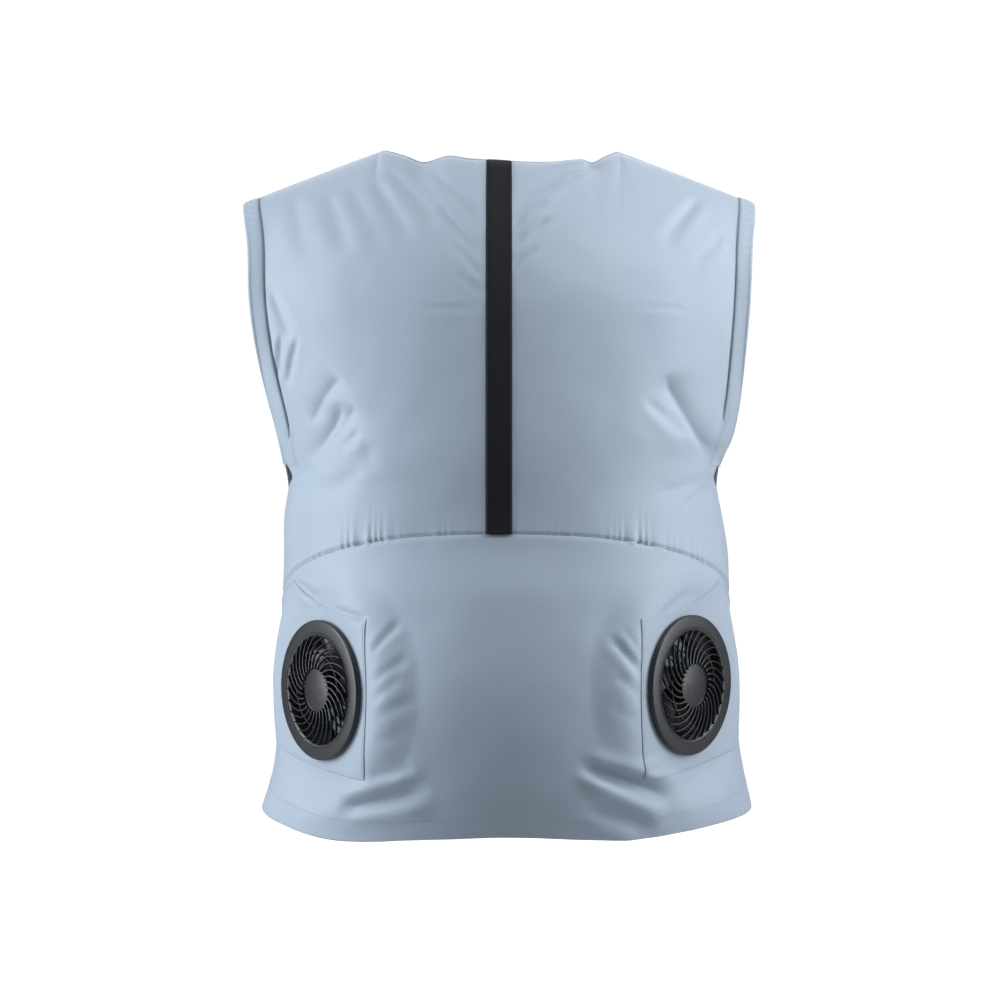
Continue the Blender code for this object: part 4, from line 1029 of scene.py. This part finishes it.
for sign in (-1, 1):
    half = np.array([float(turnOf(tape["half"] - stitch["tapeInset"], level, sign)) for level in tapeRows]) * sign
    sewAlong(f"tape_stitch_{sign + 1}", half, tapeRows, tape["lift"] + 0.0001, tapeCloth)
waistTurns = np.linspace(-86, 86, 300)
drops = seamDrops(waistTurns)
sewAlong("waist_stitch", waistTurns, 3 + stitch["overWaist"] / (drops[3] - drops[4]))
sewAlong("hem_stitch_back", np.linspace(-90, 90, 300), np.full(300, stitch["hemLevel"]))
for side, sign in bothSides:
    sewAlong(f"hem_stitch_{side}", sign * np.linspace(90, 176, 160), np.full(160, stitch["hemLevel"]))
    path = bandEdge(sign)
    for k, share in enumerate((0.10, 0.86)):
        sewAlong(f"band_stitch_{side}_{k}", mixed(path[:, 2], path[:, 0], share), mixed(path[:, 3], path[:, 1], share),
                 band["lift"] + stitch["stand"])
    innerTurn, onPatch = vest["patchTurn"] + stitch["inset"], patch["lift"] + stitch["stand"]
    sewAlong(f"patch_stitch_{side}", np.full(80, sign * innerTurn), np.linspace(1.02, 1.98, 80), onPatch)
    for k, level in enumerate((1.018, 1.982)):
        sewAlong(f"patch_edge_{side}_{k}", sign * np.linspace(innerTurn, 89, 120), np.full(120, level), onPatch)
print("stitching done")


# Rolled edges: a thin round tube along the neck and the shoulder seams
def tubePiece(name, path, radius, sides=10, closed=False):
    tangent = np.gradient(path, axis=0)
    if closed:
        tangent[0] = tangent[-1] = path[1] - path[-2]
    tangent /= np.linalg.norm(tangent, axis=1, keepdims=True)
    first = np.cross(tangent, (0, 0, 1.0))
    first /= np.linalg.norm(first, axis=1, keepdims=True)
    second = np.cross(tangent, first)
    angles = np.linspace(0, math.tau, sides + 1)
    rings = first[:, None] * np.cos(angles)[None, :, None] + second[:, None] * np.sin(angles)[None, :, None]
    piece = gridPiece(name, path[:, None] + radius * rings)
    pick(piece)
    weld(0.00002)
    bpy.ops.object.shade_smooth()
    return piece


neckTurn = float(turnOf(vest["neckHalf"], 6.0, 1))
neckPath = np.concatenate([facePoint(np.linspace(-neckTurn, neckTurn, 61), 6.0),
                           facePoint(180 - np.linspace(neckTurn, 0, 41), 6.0),
                           facePoint(-180 + np.linspace(0, neckTurn, 41), 6.0)[1:]])
finishPiece(tubePiece("neck_roll", neckPath, 0.0018, closed=True), shellCloth)
for side, sign in bothSides:
    ridge = facePoint(sign * np.linspace(neckTurn, reachTurn, 60), 6.0)
    finishPiece(tubePiece(f"shoulder_seam_{side}", ridge, 0.0014), shellCloth)
print("edges rolled")

# Fan units, built about their own axis: z looks out of the cloth, whose outer face is at 0
unit = {
    "sides": 128, "flange": 0.0675, "opening": 0.0513, "seat": 0.0018, "top": 0.0065, "barrel": 0.0024, "depth": 0.0260,
    "ribs": 28, "ribWidth": 0.0014, "ribDepth": 0.0026, "sweep": 36.0, "ring": 0.0358, "hub": 0.0213, "dome": 0.0030,
    "rim": 0.0043, "dot": 0.00045, "dotPitch": 0.0021, "blades": 7, "bladeTop": 0.0013, "bladeDepth": 0.0140,
    "tip": 0.0495,
}


# A circle extruded and scaled from ring to ring along a closed profile of (radius, height)
def turnedPiece(name, profile, sides):
    deselectAll()
    radius, height = profile[0]
    bpy.ops.mesh.primitive_circle_add(vertices=sides, radius=radius, location=(0, 0, height))
    piece = keepAs(name)
    bpy.ops.object.transform_apply(location=True, rotation=True, scale=True)
    bpy.ops.object.mode_set(mode="EDIT")
    bpy.ops.mesh.select_all(action="SELECT")
    for nextRadius, nextHeight in list(profile[1:]) + [profile[0]]:
        bpy.ops.mesh.extrude_edges_move(TRANSFORM_OT_translate={"value": (0, 0, nextHeight - height)})
        growth = nextRadius / radius
        bpy.ops.transform.resize(value=(growth, growth, 1), center_override=(0, 0, nextHeight))
        radius, height = nextRadius, nextHeight
    weld(0.00001)
    return piece


def block(name, place, size):
    deselectAll()
    bpy.ops.mesh.primitive_cube_add(size=1)
    piece = keepAs(name)
    piece.data.transform(Matrix.Translation(place) @ Matrix.Diagonal((*size, 1)))
    return piece


# Height of the grille's dish at a radius
def domeHeight(radius):
    return unit["rim"] + unit["dome"] * (1 - (radius / 0.0525) ** 2)


# One rib of the grille along its sweep, from the hub out
def sweptRib(name, start, end, width, depth, cells=16):
    share = np.linspace(0, 1, cells + 1)
    radius = mixed(start, end, share)
    whole = (radius - unit["hub"]) / (unit["opening"] - unit["hub"])
    angle = -math.radians(unit["sweep"]) * np.maximum(whole, 0) ** 1.25
    thin = width * (1.15 - 0.25 * share)
    points = np.zeros((2, cells + 1, 3))
    for k, sideways in enumerate((0.5, -0.5)):
        turn = angle - sideways * thin / radius
        points[k] = np.stack([radius * np.cos(turn), radius * np.sin(turn), domeHeight(radius) + depth / 2], -1)
    rib = gridPiece(name, points[::-1])
    addModifier(rib, "SOLIDIFY", thickness=depth, offset=-1)
    addModifier(rib, "BEVEL", width=0.00035, segments=2, limit_method="ANGLE", angle_limit=math.radians(50))
    return rib


def fanFrame():
    profile = (
        (unit["opening"], -unit["depth"]), (unit["opening"] + unit["barrel"], -unit["depth"]),
        (unit["opening"] + unit["barrel"], unit["seat"]), (unit["flange"], unit["seat"]),
        (unit["flange"], 0.0050), (0.0672, 0.0058), (0.0666, 0.0063), (0.0658, unit["top"]),
        (0.0563, unit["top"]), (0.0560, 0.0061), (0.0556, 0.0061), (0.0553, unit["top"]), (0.0537, unit["top"]),
        (0.0527, 0.0061), (0.0519, 0.0053), (unit["opening"], 0.0042), (unit["opening"], -0.0060),
    )
    body = turnedPiece("frame_body", profile, unit["sides"])
    rib = sweptRib("rib", unit["hub"] - 0.0006, unit["opening"] + 0.0008, unit["ribWidth"], unit["ribDepth"])
    ribs = copyAround("grille_ribs", rib, unit["ribs"])
    middle, ringZ = unit["ring"], domeHeight(unit["ring"])
    ring = turnedPiece("grille_ring", ((middle - 0.0008, ringZ - 0.0012), (middle + 0.0008, ringZ - 0.0012),
                                       (middle + 0.0009, ringZ + 0.0009), (middle + 0.0005, ringZ + 0.0014),
                                       (middle - 0.0005, ringZ + 0.0014), (middle - 0.0009, ringZ + 0.0009)),
                       unit["sides"])
    outer, hubZ = unit["hub"], domeHeight(unit["hub"])
    cap = [(0.0001, hubZ - 0.0014), (outer - 0.0006, hubZ - 0.0014), (outer, hubZ - 0.0008), (outer, hubZ + 0.0008),
           (outer - 0.0005, hubZ + 0.0014), (outer - 0.0014, hubZ + 0.0015), (outer - 0.0018, hubZ + 0.0012),
           (outer - 0.0024, hubZ + 0.0013)]
    for share in (0.8, 0.6, 0.4, 0.2, 0.005):
        cap.append(((outer - 0.0024) * share, hubZ + 0.0013 + 0.0012 * (1 - share ** 2)))
    hub = turnedPiece("grille_hub", cap, 96)
    pieces = [body, ribs, ring, hub]
    deselectAll()
    bpy.ops.mesh.primitive_uv_sphere_add(segments=8, ring_count=5, radius=unit["dot"])
    dot = keepAs("dot")
    dot.data.transform(Matrix.Diagonal((1, 1, 0.6, 1)))
    for row in range(-5, 2):
        for column in range(-6, 7):
            x, y = column * unit["dotPitch"], row * unit["dotPitch"]
            if math.hypot(x, y) < outer - 0.0048:
                twin = copyPiece(dot, "hub_dot")
                share = math.hypot(x, y) / (outer - 0.0024)
                twin.data.transform(Matrix.Translation((x, y, hubZ + 0.0013 + 0.0012 * (1 - share ** 2))))
                pieces.append(twin)
    bpy.data.objects.remove(dot)
    whole = joinAll("fan_frame_model", pieces)
    smoothShade(whole, 32)
    return whole


rotor = {"bore": 0.0018, "cup": 0.0190, "root": 0.0184, "wall": 0.0011, "camber": 0.0012, "clear": 0.0030}


def impeller():
    top, foot = unit["bladeTop"], unit["bladeTop"] - unit["bladeDepth"]
    bore, rim = rotor["bore"], rotor["cup"]
    cup = turnedPiece("impeller_cup", ((bore, foot), (rim - 0.0004, foot), (rim, foot + 0.0004), (rim, top - 0.0016),
                                       (rim - 0.0004, top - 0.0006), (rim - 0.0014, top), (bore, top)), 72)
    share = np.linspace(0, 1, 15)[:, None]
    swing = np.linspace(-0.5, 0.5, 9)[None]
    radius = mixed(rotor["root"], unit["tip"], share) + 0 * swing
    pitch = np.radians(36 - 10 * share)
    chord = (unit["bladeDepth"] - rotor["clear"]) / np.sin(pitch)
    lean = math.radians(24) * share ** 1.3 + swing * chord * np.cos(pitch) / radius
    camber = rotor["camber"] * np.cos(swing * math.pi)
    height = (top + foot) / 2 + swing * chord * np.sin(pitch) * 0.93 + camber * 0.6
    blade = gridPiece("blade", np.stack([radius * np.cos(lean), radius * np.sin(lean), height], -1))
    addModifier(blade, "SOLIDIFY", thickness=rotor["wall"], offset=0)
    blades = copyAround("impeller_blades", blade, unit["blades"])
    whole = joinAll("impeller_model", [cup, blades])
    smoothShade(whole, 40)
    return whole


lock = {"inner": 0.0540, "outer": 0.0650, "top": -0.0018, "foot": -0.0078, "grips": 12,
        "grip": (0.0060, 0.0030, 0.0020)}


def lockRing():
    inner, outer, top, foot = lock["inner"], lock["outer"], lock["top"], lock["foot"]
    ring = turnedPiece("lock_body", ((inner, foot + 0.0004), (inner + 0.0004, foot), (outer - 0.0022, foot),
                                     (outer - 0.0015, foot + 0.0005), (outer - 0.0002, top - 0.0012),
                                     (outer - 0.0002, top - 0.0003), (outer - 0.0005, top), (inner, top)), 96)
    grip = block("grip", (outer - 0.0050, 0, foot - 0.0006), lock["grip"])
    addModifier(grip, "BEVEL", width=0.0005, segments=2)
    grips = copyAround("lock_grips", grip, lock["grips"])
    whole = joinAll("lock_ring_model", [ring, grips])
    smoothShade(whole, 35)
    return whole


guard = {
    "gap": 0.0003, "height": 0.0024, "outer": 0.0537, "inner": 0.0483, "wires": (0.0250, 0.0325, 0.0400),
    "arms": 6, "armWidth": 0.0026, "armHeight": 0.0020, "inlet": (0.0070, 0.0090, 0.0070), "socket": 0.0014,
    "motor": 0.0175, "motorTop": -0.0145, "motorFoot": -0.0295, "shaft": 0.0015, "shaftTop": -0.0046,
}


def rearGuard():
    outer, inner, can = guard["outer"], guard["inner"], guard["motor"]
    top = -unit["depth"] - guard["gap"]
    foot = top - guard["height"]
    rings = [turnedPiece("guard_ring", ((inner, foot + 0.0003), (inner + 0.0003, foot), (outer - 0.0003, foot),
                                        (outer, foot + 0.0003), (outer, top), (inner, top)), 96)]
    for radius in guard["wires"]:
        rings.append(turnedPiece("guard_wire", (
            (radius - 0.0007, foot + 0.0003), (radius - 0.0004, foot), (radius + 0.0004, foot),
            (radius + 0.0007, foot + 0.0003), (radius + 0.0007, top - 0.0004), (radius - 0.0007, top - 0.0004)), 96))
    motorTop, motorFoot = guard["motorTop"], guard["motorFoot"]
    motor = turnedPiece("motor_can", (
        (0.0012, motorFoot), (can - 0.0025, motorFoot), (can - 0.0005, motorFoot + 0.0008), (can, motorFoot + 0.0022),
        (can, motorTop - 0.0006), (can - 0.0005, motorTop), (0.0012, motorTop)), 72)
    shaft = turnedPiece("shaft", ((0.0001, motorTop - 0.001), (guard["shaft"], motorTop - 0.001),
                                  (guard["shaft"], guard["shaftTop"]), (0.0001, guard["shaftTop"])), 24)
    arm = block("arm", ((inner + can) / 2, 0, (top + foot) / 2),
                (inner - can + 0.003, guard["armWidth"], guard["armHeight"]))
    addModifier(arm, "BEVEL", width=0.0005, segments=2)
    arms = copyAround("guard_arms", arm, guard["arms"], math.radians(30))
    inlet = block("inlet", (0, inner - 0.003, foot - 0.0023), guard["inlet"])
    editChosen(inlet, "polygons", "FACE", lambda polygon: polygon.normal.y < -0.9)
    bpy.ops.mesh.inset(thickness=guard["socket"])
    bpy.ops.mesh.extrude_region_move(TRANSFORM_OT_translate={"value": (0, 0.0055, 0)})
    bpy.ops.object.mode_set(mode="OBJECT")
    whole = joinAll("rear_guard_model", rings + [motor, shaft, arms, inlet])
    smoothShade(whole, 35)
    return whole


fanPieces = (
    ("fan_cover", fanFrame(), mouldedPlastic, "fan_plastic", "fan_frame", "vest"),
    ("lock_ring", lockRing(), mouldedPlastic, "fan_plastic", "fan_lock_ring", "vest"),
    ("impeller", impeller(), bladeGloss, "impeller_plastic", "fan_impeller", "rotor"),
    ("rear_guard", rearGuard(), mouldedPlastic, "fan_plastic", "fan_rear_guard", "vest"),
)
for side, (centre, outward) in fans.items():
    axis = Vector(outward)
    turned = Matrix((Vector((0, 0, 1)).cross(axis), Vector((0, 0, 1)), axis)).transposed().to_4x4()
    for kind, model, material, slot, node, rides in fanPieces:
        piece = copyPiece(model, f"{kind}_{side}")
        piece.data.transform(Matrix.Translation(Vector(centre)) @ turned)
        finishPiece(piece, material, "vest" if rides == "vest" else f"fan_rotor_{side}", [f"{node}_{side}"])
for kind, model, *rest in fanPieces:
    bpy.data.objects.remove(model)
print("fans built")


# Studio: pale floor and backdrop, soft lights from both sides and above
studio = {"floor": -1.02, "width": 12.0, "depth": 8.4, "bend": 0.16, "wall": 5.0,
          "sky": 0.16, "skySeen": 1.08, "paperSeen": 0.93}
bpy.context.scene.view_settings.view_transform = "Standard"
deselectAll()
bpy.ops.mesh.primitive_plane_add(size=1)
floor = keepAs("studio_floor")
paperSize = Matrix.Diagonal((studio["width"], studio["depth"], 1, 1))
floor.data.transform(Matrix.Translation((0, -1.0, studio["floor"])) @ paperSize)
editChosen(floor, "edges", "EDGE", lambda edge: all(floor.data.vertices[k].co.y > 3 for k in edge.vertices))
for angle in np.radians(np.linspace(0, 90, 13)[1:]):
    step = (0, studio["bend"] * math.cos(angle), studio["bend"] * math.sin(angle))
    bpy.ops.mesh.extrude_edges_move(TRANSFORM_OT_translate={"value": step})
bpy.ops.mesh.extrude_edges_move(TRANSFORM_OT_translate={"value": (0, 0, studio["wall"])})
bpy.ops.object.mode_set(mode="OBJECT")
bpy.ops.object.shade_smooth()
material, tree, shader = newMaterial("studio_paper", Roughness=0.9, Specular_IOR_Level=0.1,
                                     Emission_Color=(1, 1, 1, 1))
wearColor(tree, shader, (0.42, 0.43, 0.44, 1), 2.0, 30.0, 0.004)
glow = calc(tree, "MULTIPLY", addNode(tree, "LightPath").outputs["Is Camera Ray"], studio["paperSeen"])
feed(tree, shader, Emission_Strength=glow)
floor.data.materials.append(material)

world = bpy.data.worlds.new("studio_world")
bpy.context.scene.world = world
world.use_nodes = True
sky = world.node_tree.nodes["Background"]
sky.inputs[0].default_value = (0.93, 0.96, 1.0, 1)
seen = addNode(world.node_tree, "LightPath").outputs["Is Camera Ray"]
strength = addNode(world.node_tree, "MapRange", {"Value": seen, "To Min": studio["sky"], "To Max": studio["skySeen"]})
feed(world.node_tree, sky, Strength=strength.outputs[0])

# Lamps: name, place, size, power, colour, spread in degrees, and what it points at
middleOfBack, rightShoulder = (0, -0.05, -0.35), (0.19, -0.09, -0.06)
lamps = (
    ("left_softbox", (-1.85, -0.35, 0.10), (0.9, 1.9), 46.0, (0.94, 0.97, 1.0), 180, middleOfBack),
    ("right_softbox", (1.85, -0.35, 0.20), (0.9, 1.9), 36.0, (0.96, 0.98, 1.0), 180, middleOfBack),
    ("right_high", (1.1, -0.8, 1.3), (0.3, 0.3), 0.32, (1.0, 1.0, 1.0), 26, rightShoulder),
    ("top_fill", (0.0, -0.8, 2.0), (1.6, 0.8), 15.0, (0.95, 0.98, 1.0), 180, middleOfBack),
    ("front_fill", (0.0, 2.4, 0.6), (2.0, 2.0), 22.0, (1.0, 1.0, 1.0), 180, middleOfBack),
)
for name, place, size, power, color, spread, target in lamps:
    light = bpy.data.lights.new(name, "AREA")
    light.shape = "RECTANGLE"
    light.size, light.size_y = size
    light.energy, light.color = power, color
    light.spread = math.radians(spread)
    lamp = bpy.data.objects.new(name, light)
    lamp.location = place
    lamp.rotation_euler = (Vector(target) - Vector(place)).to_track_quat("-Z", "Y").to_euler()
    bpy.context.scene.collection.objects.link(lamp)

view = bpy.data.cameras.new("photo_camera")
view.lens, view.sensor_width = 73.0, 36.0
camera = bpy.data.objects.new("photo_camera", view)
camera.location = (0.001, -2.086, -0.357)
camera.rotation_euler = (math.radians(90), 0, 0)
bpy.context.scene.collection.objects.link(camera)
bpy.context.scene.camera = camera
print("studio ready")
